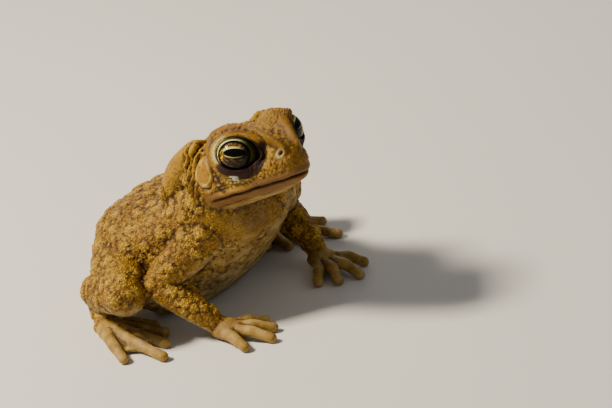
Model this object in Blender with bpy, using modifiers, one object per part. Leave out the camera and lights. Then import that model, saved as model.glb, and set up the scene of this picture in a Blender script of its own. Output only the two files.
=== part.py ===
"""An American toad sitting still, at life size: metres, +Z up, the snout towards -Y.

Every length below is in millimetres, and the finished meshes are scaled to metres at the end.
The head is shaped in its own frame: x to the toad's left, y backwards from the eyes, z up from the mouth.
"""

import math

import bmesh
import bpy
import numpy as np
from mathutils import Matrix, Vector

# Size and pose of the whole animal
GROUND_SHIFT = (0.0, -2.68, 0.0)
METRES_PER_MM = 0.001
GAP = 0.3
SLIVER = 0.004
FLOOR_DEPTH = 30.0

# Head: place and turn, then the eyes
HEAD_PLACE = (-3.4, -17.57, 33.87)
HEAD_TURN = math.radians(-12)
HEAD_TIP = math.radians(-12)
EYE_CENTRE = (6.2, 0.3, 6.6)
EYE_RADIUS = 4.4
EYE_FORWARD = math.radians(40)
EYE_UPWARD = math.radians(10)
LID_PLACE = (0.4, 0.0, -0.4)
LID_RADII = (6.3, 5.4, 5.0)
OPENING_HALF_LENGTH = 5.0
OPENING_HALF_HEIGHT = 3.7
OPENING_FORWARD = 0.4
OPENING_FLOOR = 1.6
OPENING_DEPTH = 8.0

# Head sections, front to back: place y, half width, top z, bottom z, squareness
HEAD_SECTIONS = (
    (-12.2, 1.7, 4.5, -0.6, 2.0),
    (-11.1, 2.9, 5.9, -1.4, 2.0),
    (-9.5, 4.2, 7.0, -2.2, 2.0),
    (-7.3, 5.5, 7.8, -3.0, 2.1),
    (-3.4, 7.6, 8.6, -4.2, 2.3),
    (2.0, 9.8, 9.2, -5.2, 2.4),
    (7.0, 11.5, 9.8, -6.2, 2.5),
    (12.0, 12.8, 9.6, -7.2, 2.5),
    (17.0, 13.0, 8.2, -8.0, 2.4),
)
WIDEST_SHARE = 0.42
RING_POINTS = 24

# Torso sections, front to back: centre y, centre z, slope in degrees, half width,
# rise to the back, drop to the belly, squareness
TORSO_SECTIONS = (
    (-9.0, 29.5, 30, 12.0, 8.6, 9.0, 2.2),
    (-3.0, 26.5, 34, 15.2, 8.4, 12.5, 2.2),
    (4.0, 21.5, 34, 17.5, 6.2, 15.0, 2.4),
    (11.0, 17.4, 22, 19.7, 6.9, 18.0, 2.7),
    (17.0, 15.2, 16, 20.4, 9.2, 19.0, 3.0),
    (22.3, 13.2, 26, 17.8, 10.4, 17.0, 2.9),
    (27.3, 9.7, 50, 12.0, 10.0, 10.0, 2.5),
    (31.3, 6.5, 60, 4.0, 4.0, 4.0, 2.4),
)

# Crests, eardrum, nostril and gland in the head's frame, for the left side
BROW_CREST = (
    (2.2, -11.0, 5.8),
    (2.7, -9.2, 7.1),
    (3.3, -7.0, 8.4),
    (3.8, -4.0, 9.6),
    (4.2, 0.0, 10.7),
    (4.5, 3.8, 11.0),
    (5.6, 7.2, 10.4),
)
BROW_RADII = (0.6, 0.9, 1.2, 1.5, 1.75, 1.8, 1.5)
REAR_CREST = ((5.6, 7.2, 10.4), (7.6, 7.0, 9.4), (9.3, 6.4, 7.4), (10.2, 5.6, 5.2))
REAR_RADII = (1.5, 1.25, 1.0, 0.8)
TYMPANUM = (12.0, 7.2, 4.8)
TYMPANUM_RADIUS = 2.8
NOSTRIL = (2.8, -9.9, 5.5)
NOSTRIL_RADII = (0.8, 0.6, 0.5)
GLAND_LINE = ((8.3, 12.0, 8.2), (9.6, 15.4, 5.8), (10.9, 18.8, 2.8), (11.4, 22.4, -1.4))
GLAND_RADII = (2.5, 3.3, 3.2, 2.6)

# Mouth line and neck line in the head's frame, seen from the side: y and z
MOUTH_LINE = (
    (-20.0, 0.3),
    (-16.0, 0.3),
    (-11.0, 0.0),
    (-6.0, -0.4),
    (0.0, -1.2),
    (5.0, -1.9),
    (8.4, -2.5),
    (9.8, -4.0),
    (10.6, -7.0),
    (11.0, -10.0),
    (11.2, -30.0),
)
NECK_LINE = ((-30.0, -9.6), (8.0, -9.6), (11.4, -8.6), (12.4, -6.5), (12.4, 40.0))
BLOCK_REACH = 40.0

# Limb joints on the toad's left side, with the bend between each two
SHOULDER = (11.5, -3.0, 21.0)
ARM_BEND = (17.0, 0.5, 16.5)
ELBOW = (20.5, 4.5, 12.0)
FOREARM_BEND = (19.8, -1.5, 8.6)
WRIST = (18.0, -6.5, 4.0)
HIP = (8.5, 25.0, 10.5)
THIGH_BEND = (19.0, 17.0, 13.0)
KNEE = (27.0, 9.0, 12.0)
SHANK_BEND = (24.0, 20.0, 10.0)
HEEL = (16.0, 28.5, 4.0)
TARSUS_BEND = (21.0, 24.0, 3.0)
FOOT_BASE = (25.0, 18.0, 2.6)
UPPER_ARM_RADII = (4.9, 4.4, 3.5)
FOREARM_RADII = (3.5, 3.6, 2.4)
THIGH_RADII = (7.0, 7.2, 4.6)
SHANK_RADII = (4.3, 5.0, 3.0)
TARSUS_RADII = (2.8, 2.3, 2.4)

# Fingers and toes: base, middle and tip of each
FINGERS = (
    ((15.2, -9.2, 2.0), (12.2, -11.4, 2.2), (9.2, -13.4, 1.0)),
    ((16.0, -10.2, 2.0), (13.8, -14.0, 2.3), (11.4, -17.4, 1.0)),
    ((17.2, -10.8, 2.0), (16.4, -15.6, 2.4), (15.4, -20.2, 1.0)),
    ((18.6, -10.2, 2.0), (20.0, -13.8, 2.2), (20.8, -17.2, 1.0)),
)
FINGER_RADII = (1.55, 1.2, 1.4, 1.05, 1.2)
PALM = ((17.0, -8.8, 2.2), (3.0, 3.6, 2.3))
TOES = (
    ((23.4, 16.4, 2.2), (21.4, 12.6, 1.9), (19.6, 9.4, 1.0)),
    ((24.4, 15.0, 2.2), (23.0, 9.6, 1.9), (21.6, 4.8, 1.0)),
    ((25.5, 14.2, 2.2), (25.7, 7.4, 1.9), (25.4, 1.2, 1.0)),
    ((26.8, 14.4, 2.2), (29.0, 6.2, 1.9), (30.4, -2.4, 1.0)),
    ((28.0, 16.0, 2.2), (31.6, 10.6, 1.9), (34.4, 5.4, 1.0)),
)
TOE_RADII = (1.65, 1.2, 1.4, 1.05, 1.2)
SOLE = ((25.6, 16.4, 2.2), (3.3, 3.8, 2.2))
WEB_REACH = (0.10, 0.62)
WEB_THICKNESS = 1.0

# Fineness of each skin in millimetres, and how many triangles each part keeps
TRUNK_VOXEL = 0.55
GLAND_VOXEL = 0.7
LIMB_VOXEL = 0.5
TRIANGLES = {
    "head": 2900,
    "torso": 3300,
    "gland": 280,
    "upper_arm": 420,
    "forearm": 380,
    "hand": 640,
    "thigh": 560,
    "shank": 520,
    "tarsus": 220,
    "foot": 760,
}

# Raised features of the head: height and half width of each
LIP_RISE = (0.35, 1.1)
LIP_OFFSET = 0.8
LID_RISE = (0.4, 0.24)
LID_OVAL = 1.17
DRUM_RISE = (0.4, 0.9)
DRUM_DROP = 0.2
NOSTRIL_RISE = (0.35, 0.8)
NOSTRIL_RING = 0.9

# Warts: least and greatest radius, height as a share of it, and the fewest millimetres between two
BACK_WARTS = (1.3, 2.3, 0.30, 4.8)
SIDE_WARTS = (1.0, 1.6, 0.30, 3.6)
FACE_WARTS = (0.6, 1.0, 0.32, 2.2)
LIMB_WARTS = (1.1, 1.7, 0.28, 4.2)
BACK_SEED = 11
SIDE_SEED = 12
FACE_SEED = 13
LIMB_SEED = 20

COLLECTION = bpy.data.collections.new("american_toad")
CUTTERS = bpy.data.collections.new("cutters")


def head_frame():
    """Where the head's frame lies in the body's."""
    turn = Matrix.Rotation(HEAD_TURN, 4, "Z") @ Matrix.Rotation(HEAD_TIP, 4, "X")
    return Matrix.Translation(HEAD_PLACE) @ turn


def clear_scene():
    """Removes whatever the scene starts with and adds the two collections."""
    for obj in list(bpy.data.objects):
        bpy.data.objects.remove(obj)
    bpy.context.scene.collection.children.link(COLLECTION)
    bpy.context.scene.collection.children.link(CUTTERS)
    CUTTERS.hide_render = True


def new_object(name, mesh, collection=CUTTERS):
    """An object of this mesh; helpers are hidden from renders."""
    obj = bpy.data.objects.new(name, mesh)
    collection.objects.link(obj)
    if collection is CUTTERS:
        obj.hide_render = True
        obj.display_type = "WIRE"
    return obj


def mesh_of(name, points, faces):
    """A mesh with its faces turned outwards."""
    mesh = bpy.data.meshes.new(name)
    mesh.from_pydata([tuple(p) for p in points], [], faces)
    work = bmesh.new()
    work.from_mesh(mesh)
    bmesh.ops.recalc_face_normals(work, faces=work.faces)
    work.to_mesh(mesh)
    work.free()
    return mesh


def ring(count, half_width, rise, drop, power):
    """A closed outline across the body, rounder or squarer by its power: pairs of x and height."""
    for step in range(count):
        angle = 2 * math.pi * step / count
        across = math.copysign(abs(math.cos(angle)) ** (2 / power), math.cos(angle))
        up = math.copysign(abs(math.sin(angle)) ** (2 / power), math.sin(angle))
        yield half_width * across, up * (rise if up > 0 else drop)


def loft(name, rings):
    """A closed skin over rings of equal count, its ends filled."""
    count = len(rings[0])
    points = [p for one in rings for p in one]
    faces = []
    for row in range(len(rings) - 1):
        for step in range(count):
            after = (step + 1) % count
            first, second = row * count, (row + 1) * count
            faces.append((first + step, first + after, second + after, second + step))
    faces.append(tuple(range(count)))
    faces.append(tuple(range(len(points) - count, len(points))))
    return smoothed_cage(mesh_of(name, points, faces), 2)


def smoothed_cage(mesh, levels):
    """The mesh after subdivision, as a new mesh."""
    obj = new_object(mesh.name, mesh)
    divide = obj.modifiers.new("divide", "SUBSURF")
    divide.levels = levels
    divide.render_levels = levels
    return applied(obj)


def applied(obj):
    """The object's mesh with its modifiers applied; the object goes."""
    bpy.context.view_layer.update()
    graph = bpy.context.evaluated_depsgraph_get()
    mesh = bpy.data.meshes.new_from_object(obj.evaluated_get(graph))
    bpy.data.objects.remove(obj)
    return mesh


def head_mesh():
    """The skull and jaws from their sections, in the body's frame."""
    rings = []
    for place, half_width, top, bottom, squareness in HEAD_SECTIONS:
        level = bottom + WIDEST_SHARE * (top - bottom)
        outline = ring(RING_POINTS, half_width, top - level, level - bottom, squareness)
        rings.append([(x, place, level + z) for x, z in outline])
    mesh = loft("head_form", rings)
    mesh.transform(head_frame())
    return mesh


def torso_mesh():
    """The trunk from its sections."""
    rings = []
    for y, z, slope, half_width, rise, drop, squareness in TORSO_SECTIONS:
        back = math.sin(math.radians(slope))
        up = math.cos(math.radians(slope))
        outline = ring(RING_POINTS, half_width, rise, drop, squareness)
        rings.append([(x, y + h * back, z + h * up) for x, h in outline])
    return loft("torso_form", rings)


def ball(centre, radii, frame=None, segments=24):
    """An ellipsoid, set in a frame."""
    work = bmesh.new()
    bmesh.ops.create_uvsphere(work, u_segments=segments, v_segments=segments // 2, radius=1)
    mesh = bpy.data.meshes.new("ball")
    work.to_mesh(mesh)
    work.free()
    place = Matrix.Translation(centre) @ Matrix.Diagonal((*radii, 1))
    mesh.transform((frame or Matrix()) @ place)
    return mesh


def bar(points, radii):
    """A round limb that tapers from radius to radius along a smooth line, with ball ends."""
    curve = bpy.data.curves.new("bar", "CURVE")
    curve.dimensions = "3D"
    curve.bevel_depth = 1
    curve.bevel_resolution = 4
    curve.use_fill_caps = True
    spline = curve.splines.new("NURBS")
    spline.points.add(len(points) - 1)
    spline.order_u = min(3, len(points))
    spline.use_endpoint_u = True
    spline.resolution_u = 6
    for knot, place, radius in zip(spline.points, points, radii):
        knot.co = (*place, 1)
        knot.radius = radius
    mesh = applied(new_object("bar", curve))
    ends = [ball(points[0], (radii[0],) * 3), ball(points[-1], (radii[-1],) * 3)]
    return joined([mesh, *ends])


def joined(meshes):
    """All of the meshes in one, left overlapping."""
    work = bmesh.new()
    for mesh in meshes:
        work.from_mesh(mesh)
    bmesh.ops.remove_doubles(work, verts=work.verts, dist=1e-5)
    bmesh.ops.recalc_face_normals(work, faces=work.faces)
    whole = bpy.data.meshes.new("joined")
    work.to_mesh(whole)
    work.free()
    return whole


def fused(meshes, voxel, rounds):
    """One skin round overlapping meshes, its creases smoothed."""
    obj = new_object("fused", joined(meshes))
    skin = obj.modifiers.new("skin", "REMESH")
    skin.mode = "VOXEL"
    skin.voxel_size = voxel
    skin.adaptivity = 0
    smooth = obj.modifiers.new("smooth", "SMOOTH")
    smooth.factor = 0.5
    smooth.iterations = rounds
    return applied(obj)


def thinned(mesh, triangles):
    """The mesh with about this many triangles."""
    obj = new_object("thinned", mesh)
    mesh.calc_loop_triangles()
    fewer = obj.modifiers.new("fewer", "DECIMATE")
    fewer.ratio = min(1.0, triangles / max(1, len(mesh.loop_triangles)))
    fewer.use_collapse_triangulate = True
    return applied(obj)


def places(mesh):
    """The mesh's points as an array."""
    flat = np.empty(len(mesh.vertices) * 3)
    mesh.vertices.foreach_get("co", flat)
    return flat.reshape(-1, 3)


def normals(mesh):
    """The mesh's outward directions at its points."""
    flat = np.empty(len(mesh.vertices) * 3)
    mesh.vertex_normals.foreach_get("vector", flat)
    return flat.reshape(-1, 3)


def moved(mesh, points):
    """The mesh with its points put at new places."""
    mesh.vertices.foreach_set("co", points.ravel())
    mesh.update()
    return mesh


def line_distance(points, line):
    """How far each point lies from a bent line."""
    nearest = np.full(len(points), np.inf)
    for start, end in zip(line[:-1], line[1:]):
        start, along = np.array(start), np.array(end) - np.array(start)
        share = np.clip((points - start) @ along / (along @ along), 0, 1)
        nearest = np.minimum(nearest, np.linalg.norm(points - start - share[:, None] * along, axis=1))
    return nearest


def bump(distance, width):
    """One at the middle, falling smoothly to nothing at the width."""
    share = np.clip(1 - distance / width, 0, 1)
    return share * share * (3 - 2 * share)


def local_points(points):
    """Body points in the head's frame."""
    back = np.array(head_frame().inverted())
    return points @ back[:3, :3].T + back[:3, 3]


def side_line(side, *points):
    """Places of the left side taken to either side."""
    return [(side * x, y, z) for x, y, z in points]


def eye_points(points, side):
    """Body points in one eye's frame, with x always forwards."""
    back = np.array(eye_frame(side).inverted())
    found = points @ back[:3, :3].T + back[:3, 3]
    found[:, 0] *= -side
    return found


def opening_oval(eye):
    """How far out of the lids' opening each point is, where one is its edge."""
    across = (eye[:, 0] - OPENING_FORWARD) / OPENING_HALF_LENGTH
    return np.hypot(across, eye[:, 1] / OPENING_HALF_HEIGHT)


def distance_to(local, place, side):
    """How far each point of the head's frame lies from a place on one side."""
    return np.linalg.norm(local - (side * place[0], *place[1:]), axis=1)


def scattered(points, weight, sizes, seed):
    """Wart places and radii, no two too close, drawn with a fixed seed where the weight isn't nothing."""
    least, greatest, _, spacing = sizes
    draw = np.random.default_rng(seed)
    found = []
    for index in draw.permutation(len(points)):
        if draw.random() > weight[index]:
            continue
        share = draw.random() ** 2
        radius = least + share * (greatest - least)
        place = points[index]
        apart = spacing * (0.8 + 0.5 * share)
        if all(np.linalg.norm(place - other) > apart for other, _ in found):
            found.append((place, radius))
    return found


def warted(mesh, weight, sizes, seed):
    """The mesh with warts raised on it."""
    points, outward = places(mesh), normals(mesh)
    rise = np.zeros(len(points))
    for place, radius in scattered(points, weight, sizes, seed):
        away = np.linalg.norm(points - place, axis=1)
        dome = np.sqrt(np.clip(1 - (away / (1.15 * radius)) ** 2, 0, 1))
        rise = np.maximum(rise, sizes[2] * radius * dome)
    return moved(mesh, points + rise[:, None] * outward)


def ramp(values, low, high):
    """Nothing below the low value, one above the high one."""
    return np.clip((values - low) / (high - low), 0, 1)


def head_detail(mesh):
    """Lips, lid rims, eardrum and nostril rims pressed into the head."""
    points, outward = places(mesh), normals(mesh)
    local = local_points(points)
    line = np.array(MOUTH_LINE[:-3])
    above = local[:, 2] - np.interp(local[:, 1], line[:, 0], line[:, 1])
    ahead = 1 - ramp(local[:, 1], 7.5, 9.5)
    rise = LIP_RISE[0] * bump(np.abs(np.abs(above) - LIP_OFFSET), LIP_RISE[1]) * ahead
    for side in (-1, 1):
        eye = eye_points(points, side)
        lid = np.abs(opening_oval(eye) - LID_OVAL)
        rise += LID_RISE[0] * bump(lid, LID_RISE[1]) * (eye[:, 2] > 0.5)
        drum = distance_to(local, TYMPANUM, side)
        rise += DRUM_RISE[0] * bump(np.abs(drum - TYMPANUM_RADIUS), DRUM_RISE[1])
        rise -= DRUM_DROP * bump(drum, TYMPANUM_RADIUS)
        nose = distance_to(local, NOSTRIL, side)
        rise += NOSTRIL_RISE[0] * bump(np.abs(nose - NOSTRIL_RING), NOSTRIL_RISE[1])
    return moved(mesh, points + rise[:, None] * outward)


def trunk_warts(mesh):
    """The mesh with warts on the back, the flanks, the lids and the cheeks."""
    points, outward = places(mesh), normals(mesh)
    local = local_points(points)
    behind = ramp(local[:, 1], 13.0, 16.0)
    clear = np.ones(len(points))
    plain = np.ones(len(points))
    for side in (-1, 1):
        away = line_distance(local, side_line(side, *GLAND_LINE))
        clear *= ramp(away, max(GLAND_RADII) + 0.9, max(GLAND_RADII) + 1.9)
        for limb, reach in (((SHOULDER, ELBOW), 6.2), ((HIP, KNEE), 8.6)):
            clear *= ramp(line_distance(points, side_line(side, *limb)), reach, reach + 1.0)
        eye = eye_points(points, side)
        plain *= (opening_oval(eye) > 1.45) | (eye[:, 2] < 0)
        plain *= distance_to(local, TYMPANUM, side) > TYMPANUM_RADIUS + 1.0
        plain *= distance_to(local, NOSTRIL, side) > 1.9
        for crest in (BROW_CREST, REAR_CREST):
            plain *= line_distance(local, side_line(side, *crest)) > 2.0
    up = outward[:, 2]
    back = behind * clear * ramp(up, 0.25, 0.45)
    flank = behind * clear * ramp(up, -0.35, -0.15) * (up < 0.45)
    face = (1 - behind) * plain * clear * (local[:, 2] > 1.9)
    warted(mesh, back, BACK_WARTS, BACK_SEED)
    warted(mesh, flank, SIDE_WARTS, SIDE_SEED)
    return warted(mesh, face, FACE_WARTS, FACE_SEED)


def largest(mesh):
    """Only the closed surface of the mesh that holds the most."""
    work = bmesh.new()
    work.from_mesh(mesh)
    bmesh.ops.triangulate(work, faces=work.faces)
    bmesh.ops.dissolve_degenerate(work, dist=SLIVER, edges=work.edges)
    bmesh.ops.triangulate(work, faces=work.faces)
    left = set(work.faces)
    best, best_volume = None, -1.0
    while left:
        group, queue = set(), [left.pop()]
        while queue:
            face = queue.pop()
            group.add(face)
            for edge in face.edges:
                for other in edge.link_faces:
                    if other in left:
                        left.discard(other)
                        queue.append(other)
        corners = [[v.co for v in face.verts] for face in group]
        volume = sum(a.dot(b.cross(c)) for a, b, c in corners)
        if volume > best_volume:
            best, best_volume = group, volume
    bmesh.ops.delete(work, geom=[f for f in work.faces if f not in best], context="FACES")
    work.to_mesh(mesh)
    work.free()
    return mesh


def combined(mesh, others, operation):
    """The mesh after a Boolean with each of the others in turn, then only its largest body."""
    obj = new_object("work", mesh)
    tools = [new_object("tool", other.copy()) for other in others]
    for tool in tools:
        cut = obj.modifiers.new("cut", "BOOLEAN")
        cut.operation = operation
        cut.solver = "MANIFOLD"
        cut.object = tool
    result = applied(obj)
    for tool in tools:
        bpy.data.objects.remove(tool)
    return largest(result)


def cut(mesh, *cutters):
    """The mesh less the cutters."""
    return combined(mesh, cutters, "DIFFERENCE")


def kept_inside(mesh, *covers):
    """Only what lies inside the covers."""
    return combined(mesh, covers, "INTERSECT")


def grown(mesh, amount=GAP):
    """A copy of the mesh, larger by the gap all round."""
    copy = mesh.copy()
    return moved(copy, places(copy) + amount * normals(copy))


def box(low, high):
    """A block between two corners."""
    work = bmesh.new()
    bmesh.ops.create_cube(work, size=1)
    mesh = bpy.data.meshes.new("box")
    work.to_mesh(mesh)
    work.free()
    low, high = Vector(low), Vector(high)
    mesh.transform(Matrix.Translation((low + high) / 2) @ Matrix.Diagonal((*(high - low), 1)))
    return mesh


def floor_block():
    """Everything under the floor."""
    return box((-90, -90, -FLOOR_DEPTH), (90, 90, 0))


def profile_block(line, closing, shift):
    """A block seen from the side of the head: a line of y and z moved sideways by the shift, then closed."""
    line = np.array(line)
    along = np.gradient(line, axis=0)
    across = np.stack([-along[:, 1], along[:, 0]], axis=1)
    line = line + shift * across / np.linalg.norm(across, axis=1)[:, None]
    outline = [*line.tolist(), *closing]
    count = len(outline)
    points = [(side, y, z) for side in (-BLOCK_REACH, BLOCK_REACH) for y, z in outline]
    faces = [tuple(range(count)), tuple(range(count, 2 * count))]
    for step in range(count):
        after = (step + 1) % count
        faces.append((step, after, count + after, count + step))
    mesh = mesh_of("profile_block", points, faces)
    mesh.transform(head_frame())
    return mesh


def jaw_side(shift):
    """All that lies below the mouth line and ahead of the throat cut."""
    return profile_block(MOUTH_LINE, ((-30.0, -30.0), (-30.0, 0.3)), shift)


def head_side(shift):
    """All that lies ahead of the neck cut and above the chest."""
    return profile_block(NECK_LINE, ((-30.0, 40.0),), shift)


def eye_frame(side):
    """The eye's own frame: z looks out along the eye, y up, x forwards on the right eye only."""
    out = math.cos(EYE_UPWARD)
    look = Vector((side * math.cos(EYE_FORWARD) * out, -math.sin(EYE_FORWARD) * out, math.sin(EYE_UPWARD)))
    along = Vector((0, 0, 1)).cross(look).normalized()
    up = look.cross(along)
    turn = Matrix((along, up, look)).transposed().to_4x4()
    place = Matrix.Translation((side * EYE_CENTRE[0], EYE_CENTRE[1], EYE_CENTRE[2]))
    return head_frame() @ place @ turn


def eye_opening(side):
    """The oval cutter between the lids."""
    work = bmesh.new()
    bmesh.ops.create_cone(work, cap_ends=True, segments=24, radius1=1, radius2=1, depth=1)
    mesh = bpy.data.meshes.new("opening")
    work.to_mesh(mesh)
    work.free()
    shape = Matrix.Diagonal((OPENING_HALF_LENGTH, OPENING_HALF_HEIGHT, OPENING_DEPTH, 1))
    place = Matrix.Translation((-side * OPENING_FORWARD, 0, OPENING_FLOOR + OPENING_DEPTH / 2))
    mesh.transform(eye_frame(side) @ place @ shape)
    return mesh


def node(name, mesh, finish):
    """A finished part: scaled to metres, on the ground shift, with its material."""
    mesh.transform(Matrix.Scale(METRES_PER_MM, 4) @ Matrix.Translation(GROUND_SHIFT))
    mesh.materials.clear()
    mesh.materials.append(finish)
    return new_object(name, mesh, COLLECTION)


def material(name, colour, roughness):
    """A plain finish."""
    found = bpy.data.materials.new(name)
    found.use_nodes = True
    shader = found.node_tree.nodes["Principled BSDF"]
    shader.inputs["Base Color"].default_value = (*colour, 1)
    shader.inputs["Roughness"].default_value = roughness
    return found


def trunk():
    """Head and torso as one skin."""
    forms = [head_mesh(), torso_mesh()]
    for side in (-1, 1):
        place = (-side * LID_PLACE[0], LID_PLACE[1], LID_PLACE[2])
        forms.append(ball(place, LID_RADII, frame=eye_frame(side)))
        for line, radii in ((BROW_CREST, BROW_RADII), (REAR_CREST, REAR_RADII)):
            crest = bar(side_line(side, *line), radii)
            crest.transform(head_frame())
            forms.append(crest)
    return trunk_warts(head_detail(fused(forms, TRUNK_VOXEL, 5)))


def gland(side):
    """One parotoid gland, a long swelling behind the eye."""
    mesh = bar(side_line(side, *GLAND_LINE), GLAND_RADII)
    mesh.transform(head_frame())
    return thinned(fused([mesh], GLAND_VOXEL, 3), TRIANGLES["gland"])


def head_ball(place, radii, side, segments):
    """An ellipsoid on one side of the head."""
    return ball(side_line(side, place)[0], radii, frame=head_frame(), segments=segments)


def digit(side, base, middle, tip, radii):
    """One finger or toe, arched, with two joints that swell a little."""
    base, middle, tip = (Vector(p) for p in side_line(side, base, middle, tip))
    line = [base, base.lerp(middle, 0.55), middle, middle.lerp(tip, 0.6), tip]
    return bar(line, radii)


def web(side, first, second):
    """The skin between two neighbouring toes, as the hull of small balls along them."""
    work = bmesh.new()
    for toe in (first, second):
        base, _, tip = (Vector(p) for p in side_line(side, *toe))
        for share in WEB_REACH:
            place = base.lerp(tip, share)
            place.z = 1.0
            shift = Matrix.Translation(place)
            bmesh.ops.create_icosphere(work, subdivisions=1, radius=WEB_THICKNESS / 2, matrix=shift)
    bmesh.ops.convex_hull(work, input=work.verts)
    bmesh.ops.delete(work, geom=[v for v in work.verts if not v.link_faces], context="VERTS")
    mesh = bpy.data.meshes.new("web")
    work.to_mesh(mesh)
    work.free()
    return mesh


def limbs(found, side, label, floor):
    """Arm and leg of one side, each piece trimmed to those before it."""
    palm, palm_radii = PALM
    sole, sole_radii = SOLE
    hand = [ball(side_line(side, palm)[0], palm_radii)]
    hand += [digit(side, *finger, FINGER_RADII) for finger in FINGERS]
    foot = [ball(side_line(side, sole)[0], sole_radii)]
    foot += [digit(side, *toe, TOE_RADII) for toe in TOES]
    foot += [web(side, first, second) for first, second in zip(TOES[:-1], TOES[1:])]
    pieces = (
        ("upper_arm", [bar(side_line(side, SHOULDER, ARM_BEND, ELBOW), UPPER_ARM_RADII)]),
        ("forearm", [bar(side_line(side, ELBOW, FOREARM_BEND, WRIST), FOREARM_RADII)]),
        ("hand", hand),
        ("thigh", [bar(side_line(side, HIP, THIGH_BEND, KNEE), THIGH_RADII)]),
        ("shank", [bar(side_line(side, KNEE, SHANK_BEND, HEEL), SHANK_RADII)]),
        ("tarsus", [bar(side_line(side, HEEL, TARSUS_BEND, FOOT_BASE), TARSUS_RADII)]),
        ("foot", foot),
    )
    before = [found["torso"], found["head"], found["lower_jaw"], found["parotoid_" + label]]
    for order, (name, forms) in enumerate(pieces):
        mesh = fused(forms, LIMB_VOXEL, 2)
        if name in ("upper_arm", "forearm", "thigh", "shank"):
            upward = ramp(normals(mesh)[:, 2], -0.2, 0.1)
            warted(mesh, upward, LIMB_WARTS, LIMB_SEED + 2 * order + (side > 0))
        mesh = cut(thinned(mesh, TRIANGLES[name]), floor, *[grown(other) for other in before])
        found[name + "_" + label] = mesh
        before.append(mesh)


def build():
    """Makes every node."""
    floor = floor_block()
    whole = trunk()
    glands = {side: gland(side) for side in (-1, 1)}
    grown_glands = [grown(glands[side]) for side in (-1, 1)]
    socket = (EYE_RADIUS + GAP,) * 3
    sockets = [head_ball(EYE_CENTRE, socket, side, 22) for side in (-1, 1)]
    openings = [eye_opening(side) for side in (-1, 1)]
    nostrils = [head_ball(NOSTRIL, NOSTRIL_RADII, side, 12) for side in (-1, 1)]
    head = thinned(kept_inside(whole.copy(), head_side(0.5 * GAP)), TRIANGLES["head"])
    head = cut(head, *sockets, *openings, *nostrils, *grown_glands)
    torso = thinned(cut(whole, head_side(-0.5 * GAP)), TRIANGLES["torso"])
    torso = cut(torso, floor, *grown_glands)
    jaw = kept_inside(head.copy(), jaw_side(-0.5 * GAP))
    head = cut(head, jaw_side(0.5 * GAP))
    found = {"head": head, "lower_jaw": jaw, "torso": torso}
    for side, label in ((-1, "right"), (1, "left")):
        found["eye_" + label] = head_ball(EYE_CENTRE, (EYE_RADIUS,) * 3, side, 18)
        found["parotoid_" + label] = glands[side]
        limbs(found, side, label, floor)
    back_skin = material("back_skin", (0.42, 0.27, 0.11), 0.7)
    belly_skin = material("belly_skin", (0.55, 0.47, 0.34), 0.7)
    eye = material("eye", (0.05, 0.04, 0.02), 0.15)
    for name, mesh in found.items():
        finish = eye if name.startswith("eye") else belly_skin if name == "lower_jaw" else back_skin
        node(name, mesh, finish)


clear_scene()
build()
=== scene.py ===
"""The looks of an American toad sitting still: its skin and its eyes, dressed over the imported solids.

Shapes are made in millimetres and put into metres when a piece is finished. The head has a frame of
its own: x to the toad's left, y backwards from the eyes, z up from the mouth. Whatever the head has
twice is described on its right side, where x is negative. The lids have a frame too: x forwards, y
up and z out along the look.
"""

import logging
import math
from dataclasses import dataclass
from enum import Enum
from functools import cached_property
from typing import Iterator, Sequence

import bmesh
import bpy
import numpy as np
from bpy.types import ID, Material, Mesh, Node, NodeSocket, NodeTree, Object
from mathutils import Matrix, Vector
from mathutils.kdtree import KDTree


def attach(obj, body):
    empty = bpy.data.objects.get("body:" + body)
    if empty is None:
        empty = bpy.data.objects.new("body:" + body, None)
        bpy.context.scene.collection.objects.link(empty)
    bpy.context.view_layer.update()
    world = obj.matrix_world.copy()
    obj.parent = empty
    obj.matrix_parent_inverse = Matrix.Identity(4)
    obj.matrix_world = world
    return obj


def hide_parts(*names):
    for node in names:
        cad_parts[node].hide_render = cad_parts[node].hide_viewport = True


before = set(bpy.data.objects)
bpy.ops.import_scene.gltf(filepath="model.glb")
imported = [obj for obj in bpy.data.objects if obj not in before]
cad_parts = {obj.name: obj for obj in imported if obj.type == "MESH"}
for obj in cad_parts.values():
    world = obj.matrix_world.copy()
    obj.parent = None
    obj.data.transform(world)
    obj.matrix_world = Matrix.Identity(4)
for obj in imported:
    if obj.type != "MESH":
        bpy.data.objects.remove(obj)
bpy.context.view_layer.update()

log = logging.getLogger("toad")

Pair = tuple[float, float]
Place = tuple[float, float, float]
Colour = tuple[float, float, float]
Oval = tuple[float, float, float, float]
Line = tuple[Place, ...]
Digit = tuple[Place, Place, Place]
Numbers = np.ndarray
Given = NodeSocket | float | Colour

GROUND_SHIFT: Place = (0.0, -2.68, 0.0)
METRES_PER_MM = 0.001
MM_PER_METRE = 1000.0
ACROSS = Matrix.Diagonal((-1, 1, 1, 1))
RING_POINTS = 24


class Side(Enum):
    """The toad's right or left, with the sign of x there."""

    RIGHT = -1
    LEFT = 1

    @property
    def label(self) -> str:
        """The side's name in the CAD nodes."""
        return self.name.lower()

    def line(self, *points: Place) -> list[Place]:
        """Places given for the left side, taken to this one."""
        return [(self.value * x, y, z) for x, y, z in points]


class Cut(Enum):
    """What is done with the second of two meshes."""

    ADD = "UNION"
    TAKE = "DIFFERENCE"


class Region(Enum):
    """The painted parts of the skin, each a number from nothing to one at every point."""

    # some regions hold painted light: shade in creases, round the eye and in the nostrils, and highlights
    WART = "wart"
    GRAIN = "grain"
    CREST = "crest"
    LIP = "lip"
    LID = "lid"
    MEMBRANE = "membrane"
    DRUM = "drum"
    RIM = "rim"
    NOSTRIL = "nostril"
    PALE = "pale"
    SCORCH = "scorch"
    HOLLOW = "hollow"
    FLECK = "fleck"


# Meshes


def new_object(name: str, data: ID) -> Object:
    """An object in the scene that holds this data."""
    obj = bpy.data.objects.new(name, data)
    bpy.context.scene.collection.objects.link(obj)
    return obj


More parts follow.
